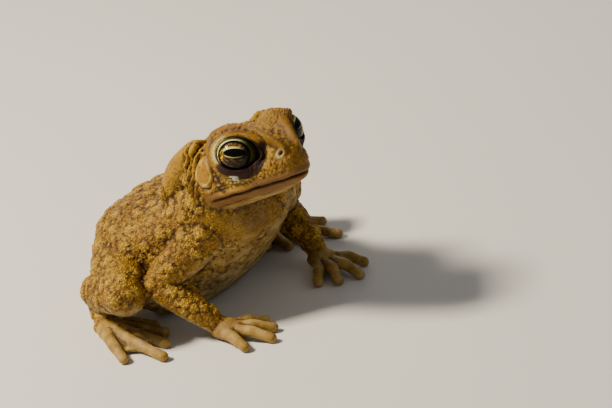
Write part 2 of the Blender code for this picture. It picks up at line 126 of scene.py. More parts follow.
def applied(obj: Object) -> Mesh:
    """The object's mesh as its modifiers leave it.

    Args:
        obj: The object, which is removed.

    Returns:
        A plain mesh.
    """
    bpy.context.view_layer.update()
    graph = bpy.context.evaluated_depsgraph_get()
    mesh = bpy.data.meshes.new_from_object(obj.evaluated_get(graph))
    bpy.data.objects.remove(obj)
    return mesh


def mesh_from(work: bmesh.types.BMesh) -> Mesh:
    """A mesh of the work in hand, which is then put away."""
    mesh = bpy.data.meshes.new("piece")
    work.to_mesh(mesh)
    work.free()
    return mesh


def joined(meshes: Sequence[Mesh]) -> Mesh:
    """All of the meshes in one, left overlapping, with their faces turned outwards."""
    work = bmesh.new()
    for mesh in meshes:
        work.from_mesh(mesh)
    bmesh.ops.remove_doubles(work, verts=work.verts, dist=1e-5)
    bmesh.ops.recalc_face_normals(work, faces=work.faces)
    return mesh_from(work)


def loft(rings: Sequence[Sequence[Place]]) -> Mesh:
    """A closed, subdivided skin over rings of equal count.

    Args:
        rings: The rings, end to end.

    Returns:
        The smooth mesh.
    """
    count = len(rings[0])
    points = [place for one in rings for place in one]
    faces: list[tuple[int, ...]] = []
    for row in range(len(rings) - 1):
        first, second = row * count, (row + 1) * count
        for step in range(count):
            after = (step + 1) % count
            faces.append((first + step, first + after, second + after, second + step))
    faces.append(tuple(range(count)))
    faces.append(tuple(range(len(points) - count, len(points))))
    mesh = bpy.data.meshes.new("loft")
    mesh.from_pydata(points, [], faces)
    obj = new_object("loft", joined([mesh]))
    divide = obj.modifiers.new("divide", "SUBSURF")
    divide.levels = 3
    divide.render_levels = 3
    return applied(obj)


def ring(half_width: float, rise: float, drop: float, power: float) -> Iterator[Pair]:
    """A closed outline across the body.

    Args:
        half_width: Half its width.
        rise: Its height over the middle.
        drop: Its depth under the middle.
        power: Two for an ellipse, more for a squarer outline.

    Yields:
        Pairs of x and height.
    """
    for step in range(RING_POINTS):
        angle = 2 * math.pi * step / RING_POINTS
        across = math.copysign(abs(math.cos(angle)) ** (2 / power), math.cos(angle))
        up = math.copysign(abs(math.sin(angle)) ** (2 / power), math.sin(angle))
        yield half_width * across, up * (rise if up > 0 else drop)


def ball(centre: Place, radii: Place, segments: int = 48) -> Mesh:
    """An ellipsoid.

    Args:
        centre: Its middle.
        radii: Its half lengths along x, y and z.
        segments: Faces round it.

    Returns:
        The ellipsoid's mesh.
    """
    work = bmesh.new()
    bmesh.ops.create_uvsphere(work, u_segments=segments, v_segments=segments // 2, radius=1)
    mesh = mesh_from(work)
    mesh.transform(Matrix.Translation(centre) @ Matrix.Diagonal((*radii, 1)))
    return mesh


def bar(points: Sequence[Place], radii: Sequence[float]) -> Mesh:
    """A round bar that tapers from radius to radius along a smooth line and ends in balls.

    Args:
        points: The places that draw the line.
        radii: The radius at each place.

    Returns:
        The bar's mesh.
    """
    curve = bpy.data.curves.new("bar", "CURVE")
    curve.dimensions = "3D"
    curve.bevel_depth = 1
    curve.bevel_resolution = 6
    curve.use_fill_caps = True
    spline = curve.splines.new("NURBS")
    spline.points.add(len(points) - 1)
    spline.order_u = min(3, len(points))
    spline.use_endpoint_u = True
    spline.resolution_u = 8
    for knot, place, radius in zip(spline.points, points, radii):
        knot.co = (*place, 1)
        knot.radius = radius
    ends = [ball(points[end], (radii[end],) * 3, segments=32) for end in (0, -1)]
    return joined([applied(new_object("bar", curve)), *ends])


def mirrored(mesh: Mesh) -> Mesh:
    """A copy of the mesh on the other side of the head."""
    copy = mesh.copy()
    copy.transform(ACROSS)
    return joined([copy])


def fused(mesh: Mesh, voxel: float) -> Mesh:
    """One skin round overlapping forms."""
    obj = new_object("fused", mesh)
    skin = obj.modifiers.new("skin", "REMESH")
    skin.mode = "VOXEL"
    skin.voxel_size = voxel
    skin.adaptivity = 0
    return applied(obj)


def combined(mesh: Mesh, other: Mesh, cut: Cut) -> Mesh:
    """Two meshes put together, or the first less the second.

    Args:
        mesh: The first mesh.
        other: The second mesh.
        cut: What is done with the second.

    Returns:
        The new mesh.
    """
    obj, tool = new_object("combined", mesh), new_object("tool", other)
    both = obj.modifiers.new("both", "BOOLEAN")
    both.operation = cut.value
    both.solver = "MANIFOLD"
    both.object = tool
    result = applied(obj)
    bpy.data.objects.remove(tool)
    return result


def thinned(mesh: Mesh, triangles: int) -> Mesh:
    """The mesh with about this many triangles, fewest where it is flat."""
    mesh.calc_loop_triangles()
    obj = new_object("thinned", mesh)
    fewer = obj.modifiers.new("fewer", "DECIMATE")
    fewer.ratio = min(1.0, triangles / len(mesh.loop_triangles))
    fewer.use_collapse_triangulate = True
    return applied(obj)


def refined(mesh: Mesh, wanted: Numbers) -> Mesh:
    """The mesh with every edge between two wanted points cut in half.

    Args:
        mesh: The mesh.
        wanted: Whether each point is wanted.

    Returns:
        The finer mesh.
    """
    work = bmesh.new()
    work.from_mesh(mesh)
    work.verts.ensure_lookup_table()
    edges = [e for e in work.edges if wanted[e.verts[0].index] and wanted[e.verts[1].index]]
    bmesh.ops.subdivide_edges(work, edges=edges, cuts=1, use_grid_fill=True)
    return mesh_from(work)


def rows(items: bpy.types.bpy_prop_collection, name: str, width: int, kind: type = float) -> Numbers:
    """One measure of each item, a row each."""
    flat = np.empty(len(items) * width, kind)
    items.foreach_get(name, flat)
    return flat.reshape(-1, width)


def places(mesh: Mesh) -> Numbers:
    """The mesh's points, a row each."""
    return rows(mesh.vertices, "co", 3)


def put(mesh: Mesh, points: Numbers) -> None:
    """Moves the mesh's points to new places."""
    mesh.vertices.foreach_set("co", points.ravel())
    mesh.update()


def edge_ends(mesh: Mesh) -> Numbers:
    """The two points of each edge."""
    return rows(mesh.edges, "vertices", 2, np.int32)


def neighbour_mean(points: Numbers, ends: Numbers) -> Numbers:
    """The middle of each point's neighbours."""
    count = len(points)
    both = np.concatenate([ends, ends[:, ::-1]])
    number = np.maximum(np.bincount(both[:, 0], minlength=count), 1)
    columns = [np.bincount(both[:, 0], points[both[:, 1], k], count) / number for k in range(3)]
    return np.stack(columns, axis=1)


def relaxed(mesh: Mesh, share: Numbers | float, rounds: int) -> None:
    """Smooths the mesh, each point by its own share.

    Args:
        mesh: The mesh, which is changed.
        share: How strongly, for each point or for all.
        rounds: How many times.
    """
    ends, points = edge_ends(mesh), places(mesh)
    weight = np.broadcast_to(np.asarray(share, float), (len(points),))[:, None]
    for _ in range(rounds):
        points = points + 0.5 * weight * (neighbour_mean(points, ends) - points)
    put(mesh, points)


def paint(mesh: Mesh, region: Region, values: Numbers) -> None:
    """Stores one region's numbers on the mesh's points."""
    coat = mesh.attributes.new(region.value, "FLOAT", "POINT")
    coat.data.foreach_set("value", np.ascontiguousarray(values, np.float32))


# Numbers over many points


def step_up(values: Numbers, low: float, high: float) -> Numbers:
    """Nothing below the low value, one above the high one, smooth between."""
    share = np.clip((values - low) / (high - low), 0, 1)
    return share * share * (3 - 2 * share)


def step_down(values: Numbers, low: float, high: float) -> Numbers:
    """One below the low value, nothing above the high one, smooth between."""
    return 1 - step_up(values, low, high)


def bump(distance: Numbers, width: float) -> Numbers:
    """One at the middle, falling smoothly to nothing at the width."""
    return step_up(-distance, -width, 0)


def ridge(values: Numbers, middle: float, width: float) -> Numbers:
    """One where the values reach the middle, falling smoothly to nothing on both sides of it."""
    return bump(np.abs(values - middle), width)


def band(values: Numbers, low: float, high: float, soft: float) -> Numbers:
    """One between two values, fading over a soft edge outside them."""
    return step_up(values, low - soft, low) * step_down(values, high, high + soft)


def ripples(across: Numbers, length: float) -> Numbers:
    """Even ripples of this length, from minus one to one."""
    return np.sin(2 * math.pi * across / length)


def line_distance(points: Numbers, line: Sequence[Place]) -> Numbers:
    """How far each point lies from a bent line.

    Args:
        points: The points.
        line: The places that the line joins.

    Returns:
        The distance for each point.
    """
    nearest = np.full(len(points), np.inf)
    for start, end in zip(line[:-1], line[1:]):
        first, along = np.array(start), np.array(end) - np.array(start)
        share = np.clip((points - first) @ along / (along @ along), 0, 1)
        away = np.linalg.norm(points - first - share[:, None] * along, axis=1)
        nearest = np.minimum(nearest, away)
    return nearest


def waves(points: Numbers, length: float, seed: int) -> Numbers:
    """Smooth random waves of about this length, from minus one to one.

    Args:
        points: Where the waves are wanted.
        length: The distance from crest to crest, in millimetres.
        seed: Which waves.

    Returns:
        A number for each point.
    """
    trains, usual_peak = 9, 3.2
    draw = np.random.default_rng(seed)
    total = np.zeros(len(points))
    for _ in range(trains):
        way = draw.normal(size=3)
        way *= (0.7 + 0.6 * draw.random()) * 2 * math.pi / length / np.linalg.norm(way)
        total += np.sin(points @ way + draw.random() * 2 * math.pi)
    return np.clip(total / usual_peak, -1, 1)


@dataclass(frozen=True)
class WartSizes:
    """How warts of one kind vary.

    Args:
        least: Radius of the smallest, in millimetres.
        greatest: Radius of the largest.
        height: Height as a share of the radius, less than nothing for a pore.
        spacing: Fewest millimetres between two.
        seed: Which draw.
        tries: How many places are tried.
    """

    least: float
    greatest: float
    height: float
    spacing: float
    seed: int
    tries: int = 26000

    def scattered(self, points: Numbers, weight: Numbers) -> Iterator[tuple[Numbers, float]]:
        """Wart places and radii, no two too close.

        Args:
            points: The skin's points.
            weight: How likely a wart is at each.

        Yields:
            A place and a radius.
        """
        draw = np.random.default_rng(self.seed)
        open_places = np.flatnonzero(weight > 0.01)
        cell = self.spacing * 1.5
        taken: dict[tuple[int, int, int], list[Numbers]] = {}
        chosen = draw.choice(open_places, size=min(self.tries, len(open_places)), replace=False)
        chance, sizes = draw.random(len(chosen)), draw.random(len(chosen)) ** 2
        for index, luck, share in zip(chosen, chance, sizes):
            if luck > weight[index]:
                continue
            place = points[index]
            apart = self.spacing * (0.8 + 0.6 * share)
            x, y, z = (int(v // cell) for v in place)
            near = (
                other
                for dx in (-1, 0, 1)
                for dy in (-1, 0, 1)
                for dz in (-1, 0, 1)
                for other in taken.get((x + dx, y + dy, z + dz), ())
            )
            if all(np.linalg.norm(place - other) > apart for other in near):
                taken.setdefault((x, y, z), []).append(place)
                yield place, self.least + share * (self.greatest - self.least)


# Frames and forms


@dataclass(frozen=True)
class HeadFrame:
    """Where the head's frame lies in the body's."""

    place: Place = (-3.4, -17.57, 33.87)
    turn: float = math.radians(-12)
    tip: float = math.radians(-12)

    def matrix(self) -> Matrix:
        """Head to body."""
        turned = Matrix.Rotation(self.turn, 4, "Z") @ Matrix.Rotation(self.tip, 4, "X")
        return Matrix.Translation(self.place) @ turned

    def local(self, points: Numbers) -> Numbers:
        """Body points in the head's frame."""
        back = np.array(self.matrix().inverted())
        return points @ back[:3, :3].T + back[:3, 3]


@dataclass(frozen=True)
class EyeForm:
    """The eyes and the lids round them.

    Args:
        centre: The right eyeball's centre, in the head's frame.
        radius: The eyeball's radius.
        forward: How far the look turns forwards from straight out.
        upward: How far it rises.
        roll: Turn of the lids about the look.
        opening: The gap between the right lids, as an oval: centre forwards and up, half length
            and half height. The other ovals are given so too.
        left_opening: The gap between the left lids.
        outer: The lids' outer edge.
        dent: The dip ahead of the eye.
        left_stoutness: How much thicker the left lids' rolls are.
    """

    centre: Place = (-6.2, 0.3, 6.6)
    radius: float = 4.4
    forward: float = math.radians(47)
    upward: float = math.radians(14)
    roll: float = math.radians(-15)
    lid_radii: Place = (6.3, 5.4, 5.3)
    lid_forward: float = math.radians(40)
    lid_upward: float = math.radians(10)
    opening: Oval = (0.55, 0.3, 4.46, 3.32)
    left_opening: Oval = (-0.1, -0.3, 4.1, 2.6)
    outer: Oval = (1.15, -0.75, 5.7, 4.3)
    dent: Oval = (5.9, -0.1, 1.9, 3.2)
    # from angle, to angle, reach beyond the opening, radius, distance from the eye's centre
    roll_sizes: tuple[tuple[float, float, float, float, float], ...] = (
        (35, 182, 0.60, 0.72, 4.95),
        (178, 300, 0.72, 0.72, 4.80),
    )
    left_stoutness: float = 1.35
    stout_sink: float = 1.3
    cut_start: float = 1.2
    cut_depth: float = 9.0
    cut_flare: float = 1.12
    slack: float = 0.05

    def frame(self, forward: float, upward: float, roll: float = 0.0) -> Matrix:
        """The right eye's own frame: z out along the look, x forwards, y up."""
        level = math.cos(upward)
        look = Vector((-math.cos(forward) * level, -math.sin(forward) * level, math.sin(upward)))
        along = Vector((0, 0, 1)).cross(look).normalized()
        turn = Matrix((along, look.cross(along), look)).transposed().to_4x4()
        return Matrix.Translation(self.centre) @ turn @ Matrix.Rotation(roll, 4, "Z")

    def lids(self) -> Matrix:
        """The lids' frame, to the head's."""
        return self.frame(self.forward, self.upward, self.roll)

    def local(self, paired: Numbers) -> Numbers:
        """Head points, folded to the right side, in the lids' frame."""
        back = np.array(self.lids().inverted())
        return paired @ back[:3, :3].T + back[:3, 3]

    def swelling(self) -> Mesh:
        """The rounded mass of the lids over the eyeball."""
        mass = ball((0.4, 0.0, -0.4), self.lid_radii)
        mass.transform(self.frame(self.lid_forward, self.lid_upward))
        return mass

    def rolls(self, opening: Oval, stout: float) -> list[Mesh]:
        """The upper lid's ridge and the soft roll under and ahead of the eye.

        Args:
            opening: The oval that they lie round.
            stout: How much thicker than their plain sizes.

        Returns:
            The rolls, laid out as on the right.
        """
        ahead, up, length, height = opening
        shares = [step / 12 for step in range(13)]
        found = []
        for low, high, reach, radius, away in self.roll_sizes:
            away -= self.stout_sink * (stout - 1)
            line = []
            for share in shares:
                angle = math.radians(low + (high - low) * share)
                x = ahead + (length + reach) * math.cos(angle)
                y = up + (height + reach) * math.sin(angle)
                line.append((x, y, math.sqrt(max(0.3, away * away - x * x - y * y))))
            swell = [0.55 + 0.45 * math.sin(math.pi * share) ** 0.5 for share in shares]
            roll = bar(line, [stout * radius * fullness for fullness in swell])
            roll.transform(self.lids())
            found.append(roll)
        return found

    def both_rolls(self) -> list[Mesh]:
        """The rolls of both sides."""
        left = self.rolls(self.left_opening, self.left_stoutness)
        return self.rolls(self.opening, 1.0) + [mirrored(roll) for roll in left]

    def cutter(self, opening: Oval) -> Mesh:
        """The socket and the opening between the lids, laid out as on the right.

        Args:
            opening: The oval between the lids.

        Returns:
            The cutter's mesh.
        """
        ahead, up, length, height = opening
        work = bmesh.new()
        bmesh.ops.create_cone(work, cap_ends=True, segments=64, radius1=1, radius2=self.cut_flare, depth=1)
        mouth = mesh_from(work)
        middle = (ahead, up, self.cut_start + self.cut_depth / 2)
        mouth.transform(Matrix.Translation(middle) @ Matrix.Diagonal((length, height, self.cut_depth, 1)))
        mouth.transform(self.lids())
        socket = ball(self.centre, (self.radius + self.slack,) * 3)
        return combined(socket, joined([mouth]), Cut.ADD)

    def cutters(self) -> tuple[Mesh, Mesh]:
        """The right and the left cutter."""
        return self.cutter(self.opening), mirrored(self.cutter(self.left_opening))


def oval_share(eye: Numbers, oval: Oval) -> Numbers:
    """How far out of an oval each point of the lids' frame is, where one is its edge."""
    ahead, up, length, height = oval
    return np.hypot((eye[:, 0] - ahead) / length, (eye[:, 1] - up) / height)


@dataclass(frozen=True)
class HeadForm:
    """The skull, jaws, crests, glands and eardrums, in the head's frame.

    The left side's crest and gland stand wider apart. Their places too are given as on the right.
    """

    # place y, half width, top z, bottom z, squareness
    sections: tuple[tuple[float, float, float, float, float], ...] = (
        (-12.2, 1.7, 4.5, -0.6, 2.0),
        (-11.1, 2.9, 5.9, -1.4, 2.0),
        (-9.5, 4.2, 7.0, -2.2, 2.0),
        (-7.3, 5.5, 7.8, -3.0, 2.1),
        (-3.4, 7.6, 8.6, -4.2, 2.3),
        (2.0, 9.8, 9.2, -5.2, 2.4),
        (7.0, 11.5, 9.8, -6.2, 2.5),
        (12.0, 12.8, 9.6, -7.2, 2.5),
        (17.0, 13.0, 8.2, -8.0, 2.4),
    )
    widest_level: float = 0.42
    brow: Line = (
        (-1.6, -11.2, 6.3),
        (-1.9, -9.2, 7.9),
        (-2.3, -7.0, 9.0),
        (-3.0, -4.0, 10.1),
        (-4.0, 0.0, 11.0),
        (-4.5, 3.8, 11.3),
        (-5.7, 7.2, 10.4),
    )
    left_brow: Line = (
        (-2.2, -11.0, 5.8),
        (-2.7, -9.2, 7.1),
        (-3.5, -7.0, 8.4),
        (-4.6, -4.0, 9.5),
        (-5.6, 0.0, 10.3),
        (-6.2, 3.4, 10.4),
        (-7.0, 5.8, 9.6),
    )
    brow_radii: tuple[float, ...] = (0.6, 0.9, 1.2, 1.5, 1.75, 1.8, 1.5)
    rear: Line = ((-5.7, 7.2, 10.4), (-7.6, 7.0, 9.4), (-9.3, 6.4, 7.4), (-10.2, 5.6, 5.2))
    left_rear: Line = ((-7.0, 5.8, 9.6), (-8.2, 6.4, 8.6), (-9.3, 6.4, 7.4), (-10.2, 5.6, 5.2))
    rear_radii: tuple[float, ...] = (1.5, 1.25, 1.0, 0.6)
    gland: Line = ((-8.3, 12.0, 8.2), (-9.6, 15.4, 5.8), (-10.9, 18.8, 2.8), (-11.4, 22.4, -1.4))
    left_gland: Line = ((-9.9, 11.6, 7.6), (-10.3, 15.2, 5.5), (-10.9, 18.8, 2.8), (-11.4, 22.4, -1.4))
    gland_radii: tuple[float, ...] = (2.5, 3.3, 3.2, 2.6)
    # the eardrum's middle, back and up, then its half width and half height
    drum: Oval = (7.65, 4.15, 2.1, 2.8)
    drum_radius: float = 2.45
    drum_depth: float = 11.0
    nostril: Place = (-2.65, -10.25, 5.55)
    nostril_way: Place = (0.77, -0.41, 0.47)
    # the mouth line, back and up
    mouth: tuple[Pair, ...] = (
        (-16.0, 0.3),
        (-11.0, 0.0),
        (-6.0, -0.4),
        (0.0, -1.2),
        (5.0, -1.9),
        (8.4, -2.5),
    )
    # lips and creases along the mouth: height over the line, half width, rise
    lips: tuple[Place, ...] = (
        (0.75, 1.1, 0.24),
        (-0.85, 0.9, 0.18),
        (-0.05, 0.36, -0.95),
        (-2.0, 0.5, -0.22),
    )
    # marks on the cheek: a painted white highlight under the eye, a pale streak and a dark patch
    fleck: Place = (-9.4, -0.7, 2.4)
    pallor: Line = ((-9.6, 2.2, 0.2), (-9.0, -1.0, 1.0))
    dark_patch: Line = ((-10.2, 3.6, 0.6), (-10.2, 4.0, 2.4), (-10.3, 4.9, 3.6))

    def skull(self) -> Mesh:
        """The skull and jaws lofted over their sections."""
        rings = []
        for place, half_width, top, bottom, squareness in self.sections:
            level = bottom + self.widest_level * (top - bottom)
            outline = ring(half_width, top - level, level - bottom, squareness)
            rings.append([(x, place, level + z) for x, z in outline])
        return loft(rings)

    def side_forms(self, side: Side) -> list[Mesh]:
        """One side's crests and gland, laid out as on the right."""
        lines = (self.brow, self.rear, self.gland)
        if side is Side.LEFT:
            lines = (self.left_brow, self.left_rear, self.left_gland)
        sizes = (self.brow_radii, self.rear_radii, self.gland_radii)
        return [bar(line, radii) for line, radii in zip(lines, sizes)]

    def drum_distance(self, paired: Numbers) -> Numbers:
        """How far each point lies from the eardrum's middle, as if the drum were round."""
        back, up, width, height = self.drum
        away = self.drum_radius * np.hypot((paired[:, 1] - back) / width, (paired[:, 2] - up) / height)
        inside = np.abs(paired[:, 0] + self.drum_depth)
        return away + 4 * step_up(inside, 2.0, 3.0) + 0.07 * waves(paired, 2.2, 16)

    def nose_distance(self, paired: Numbers) -> Numbers:
        """How far each point lies from the nostril's middle, less along its slanted length."""
        away = paired - self.nostril
        return np.sqrt(np.maximum((away * away).sum(axis=1) - 0.45 * (away @ self.nostril_way) ** 2, 0))

    def above_mouth(self, paired: Numbers) -> Numbers:
        """How high each point lies over the mouth line."""
        line = np.array(self.mouth)
        return paired[:, 2] - np.interp(paired[:, 1], line[:, 0], line[:, 1])


@dataclass(frozen=True)
class TorsoForm:
    """The trunk from neck to vent."""

    # centre y, centre z, slope in degrees, half width, rise to the back, drop to the belly, squareness
    sections: tuple[tuple[float, float, float, float, float, float, float], ...] = (
        (-9.0, 29.5, 30, 12.0, 8.6, 9.0, 2.2),
        (-3.0, 26.5, 34, 15.2, 8.4, 12.5, 2.2),
        (4.0, 21.5, 34, 17.5, 6.2, 15.0, 2.4),
        (11.0, 17.4, 22, 19.7, 6.9, 18.0, 2.7),
        (17.0, 15.2, 16, 20.4, 9.2, 19.0, 3.0),
        (22.3, 13.2, 26, 17.8, 10.4, 17.0, 2.9),
        (27.3, 9.7, 50, 12.0, 10.0, 10.0, 2.5),
        (31.3, 6.5, 60, 4.0, 4.0, 4.0, 2.4),
    )

    def form(self) -> Mesh:
        """The trunk lofted over its sections."""
        rings = []
        for y, z, slope, half_width, rise, drop, squareness in self.sections:
            back, up = math.sin(math.radians(slope)), math.cos(math.radians(slope))
            outline = ring(half_width, rise, drop, squareness)
            rings.append([(x, y + h * back, z + h * up) for x, h in outline])
        return loft(rings)


@dataclass(frozen=True)
class LimbForm:
    """The arms and legs, for the left side in the body's frame."""

    # the bones, each from joint over its middle to joint, with its radius at the three
    upper_arm: Line = ((11.5, -3.0, 21.0), (17.0, 0.5, 16.5), (20.5, 4.5, 12.0))
    forearm: Line = ((20.5, 4.5, 12.0), (19.8, -1.5, 8.6), (18.0, -6.5, 4.0))
    thigh: Line = ((8.5, 25.0, 10.5), (19.0, 17.0, 13.0), (27.0, 9.0, 12.0))
    shank: Line = ((27.0, 9.0, 12.0), (24.0, 20.0, 10.0), (16.0, 28.5, 4.0))
    tarsus: Line = ((16.0, 28.5, 4.0), (21.0, 24.0, 3.0), (25.0, 18.0, 2.6))
    bone_radii: tuple[Place, ...] = (
        (4.9, 4.4, 3.5),
        (3.5, 3.6, 2.4),
        (7.0, 7.2, 4.6),
        (4.3, 5.0, 3.0),
        (2.8, 2.3, 2.4),
    )
    palm: Place = (17.0, -8.8, 2.2)
    palm_radii: Place = (3.0, 3.6, 2.3)
    sole: Place = (25.6, 16.4, 2.2)
    sole_radii: Place = (3.3, 3.8, 2.2)
    fingers: tuple[Digit, ...] = (
        ((15.2, -9.2, 2.0), (12.2, -11.4, 2.2), (9.2, -13.4, 1.0)),
        ((16.0, -10.2, 2.0), (13.8, -14.0, 2.3), (11.4, -17.4, 1.0)),
        ((17.2, -10.8, 2.0), (16.4, -15.6, 2.4), (15.4, -20.2, 1.0)),
        ((18.6, -10.2, 2.0), (20.0, -13.8, 2.2), (20.8, -17.2, 1.0)),
    )
    toes: tuple[Digit, ...] = (
        ((23.4, 16.4, 2.2), (21.4, 12.6, 1.9), (19.6, 9.4, 1.0)),
        ((24.4, 15.0, 2.2), (23.0, 9.6, 1.9), (21.6, 4.8, 1.0)),
        ((25.5, 14.2, 2.2), (25.7, 7.4, 1.9), (25.4, 1.2, 1.0)),
        ((26.8, 14.4, 2.2), (29.0, 6.2, 1.9), (30.4, -2.4, 1.0)),
        ((28.0, 16.0, 2.2), (31.6, 10.6, 1.9), (34.4, 5.4, 1.0)),
    )
    finger_radii: tuple[float, ...] = (1.55, 1.2, 1.4, 1.05, 1.2)
    toe_radii: tuple[float, ...] = (1.65, 1.2, 1.4, 1.05, 1.2)
    web_reach: Pair = (0.10, 0.62)
    web_thickness: float = 1.0

    def bones(self, side: Side) -> list[Mesh]:
        """The arm and leg of one side, without hand and foot."""
        lines = (self.upper_arm, self.forearm, self.thigh, self.shank, self.tarsus)
        return [bar(side.line(*line), radii) for line, radii in zip(lines, self.bone_radii)]

    def digit(self, side: Side, knuckles: Digit, radii: Sequence[float]) -> Mesh:
        """One finger or toe, arched, with joints that swell a little."""
        base, middle, tip = (Vector(place) for place in side.line(*knuckles))
        line = [base, base.lerp(middle, 0.55), middle, middle.lerp(tip, 0.6), tip]
        return bar([tuple(place) for place in line], radii)

    def web(self, side: Side, first: Digit, second: Digit) -> Mesh:
        """The skin between two neighbouring toes.

        Args:
            side: The toad's side.
            first: One toe.
            second: The toe beside it.

        Returns:
            The web's mesh.
        """
        work = bmesh.new()
        for toe in (first, second):
            base, _, tip = (Vector(place) for place in side.line(*toe))
            for share in self.web_reach:
                place = base.lerp(tip, share)
                place.z = 1.0
                shift = Matrix.Translation(place)
                radius = self.web_thickness / 2
                bmesh.ops.create_icosphere(work, subdivisions=2, radius=radius, matrix=shift)
        bmesh.ops.convex_hull(work, input=work.verts)
        inner = [point for point in work.verts if not point.link_faces]
        bmesh.ops.delete(work, geom=inner, context="VERTS")
        return mesh_from(work)

    def ends(self, side: Side) -> list[Mesh]:
        """The hand and the foot of one side."""
        palm, sole = side.line(self.palm, self.sole)
        found = [ball(palm, self.palm_radii), ball(sole, self.sole_radii)]
        found += [self.digit(side, finger, self.finger_radii) for finger in self.fingers]
        found += [self.digit(side, toe, self.toe_radii) for toe in self.toes]
        found += [self.web(side, first, second) for first, second in zip(self.toes[:-1], self.toes[1:])]
        return found

    def digit_distance(self, points: Numbers) -> Numbers:
        """How far each point lies from the middle line of the nearest finger or toe."""
        lines = [side.line(*digit) for side in Side for digit in (*self.fingers, *self.toes)]
        return np.minimum.reduce([line_distance(points, line) for line in lines])


@dataclass
class Survey:
    """Where a skin's points lie among its features, each measure taken when first asked for."""

    mesh: Mesh
    head_frame: HeadFrame
    head: HeadForm
    eyes: EyeForm
    limbs: LimbForm

    @cached_property
    def points(self) -> Numbers:
        """The points, in the body's frame."""
        return places(self.mesh)

    @cached_property
    def outward(self) -> Numbers:
        """The skin's outward direction."""
        return rows(self.mesh.vertex_normals, "vector", 3)

    @cached_property
    def local(self) -> Numbers:
        """The points, in the head's frame."""
        return self.head_frame.local(self.points)

    @cached_property
    def paired(self) -> Numbers:
        """The same, folded to the right side."""
        folded = self.local.copy()
        folded[:, 0] = -np.abs(folded[:, 0])
        return folded

    @cached_property
    def eye(self) -> Numbers:
        """The same, in the lids' frame."""
        return self.eyes.local(self.paired)

    @cached_property
    def reach(self) -> Numbers:
        """Distance from the eye's centre."""
        return np.linalg.norm(self.eye, axis=1)

    @cached_property
    def opening(self) -> Numbers:
        """How far out of its own side's opening between the lids."""
        left, right = oval_share(self.eye, self.eyes.left_opening), oval_share(self.eye, self.eyes.opening)
        return np.where(self.local[:, 0] > 0, left, right)

    @cached_property
    def crests(self) -> Numbers:
        """Distance from its own side's crests."""
        head = self.head
        right = np.minimum(line_distance(self.paired, head.brow), line_distance(self.paired, head.rear))
        left = [line_distance(self.paired, line) for line in (head.left_brow, head.left_rear)]
        return np.where(self.local[:, 0] > 0, np.minimum(*left), right)

    @cached_property
    def gland(self) -> Numbers:
        """Distance from the upper part of the gland's middle line."""
        return line_distance(self.paired, self.head.gland[:-1])

    @cached_property
    def drum(self) -> Numbers:
        """Distance from the eardrum's middle."""
        return self.head.drum_distance(self.paired)

    @cached_property
    def nose(self) -> Numbers:
        """Distance from the nostril's middle."""
        return self.head.nose_distance(self.paired)

    @cached_property
    def above(self) -> Numbers:
        """Height over the mouth line."""
        return self.head.above_mouth(self.paired)

    @cached_property
    def digits(self) -> Numbers:
        """Distance from the fingers' and toes' middle lines."""
        return self.limbs.digit_distance(self.points)

    @cached_property
    def folds(self) -> Numbers:
        """One in the upright folds between eardrum and gland."""
        return band(self.paired[:, 1], 9.9, 12.6, 0.8) * band(self.paired[:, 2], -1.0, 9.4, 1.2)

    @cached_property
    def near_eye(self) -> Numbers:
        """Whether the point is on the lids."""
        return (self.reach < 7.5) * (self.eye[:, 2] > -0.5)

    @cached_property
    def upper_lid(self) -> Numbers:
        """One on the upper lid."""
        return step_up(self.eye[:, 1], 1.6, 2.6) * step_down(self.eye[:, 0], 2.4, 3.8)

    @cached_property
    def inside_lids(self) -> Numbers:
        """One on the bare skin from the lids' outer edge to the eye."""
        above = self.upper_lid * step_down(self.opening, 1.45, 1.6)
        outer = oval_share(self.eye, self.eyes.outer)
        return np.maximum(step_down(outer, 0.98, 1.08), above) * self.near_eye

    @cached_property
    def lid_margin(self) -> Numbers:
        """One on the pale edge behind the eye."""
        behind = step_up(-self.eye[:, 0], 1.0, 2.8) * step_up(self.eye[:, 1], -2.4, -0.8)
        return band(self.opening, 0.9, 1.14, 0.16) * behind * self.near_eye

    @cached_property
    def jaws(self) -> Numbers:
        """One as far back as the mouth reaches."""
        return step_down(self.paired[:, 1], 7.5, 9.5)

    @cached_property
    def lips(self) -> Numbers:
        """One on the lips."""
        return step_up(self.above, -3.0, -1.2) * step_down(self.above, 1.5, 2.1) * self.jaws

    @cached_property
    def throat(self) -> Numbers:
        """One under the jaw."""
        return step_down(self.above, -4.6, -2.6) * self.jaws * step_up(self.paired[:, 2], -15.0, -11.0)

    @cached_property
    def face(self) -> Numbers:
        """One ahead of the eardrum."""
        return step_down(self.paired[:, 1], 7.0, 10.0)

    @cached_property
    def underside(self) -> Numbers:
        """One where the skin faces down."""
        return step_down(self.outward[:, 2], -0.55, -0.15)


# Shaders


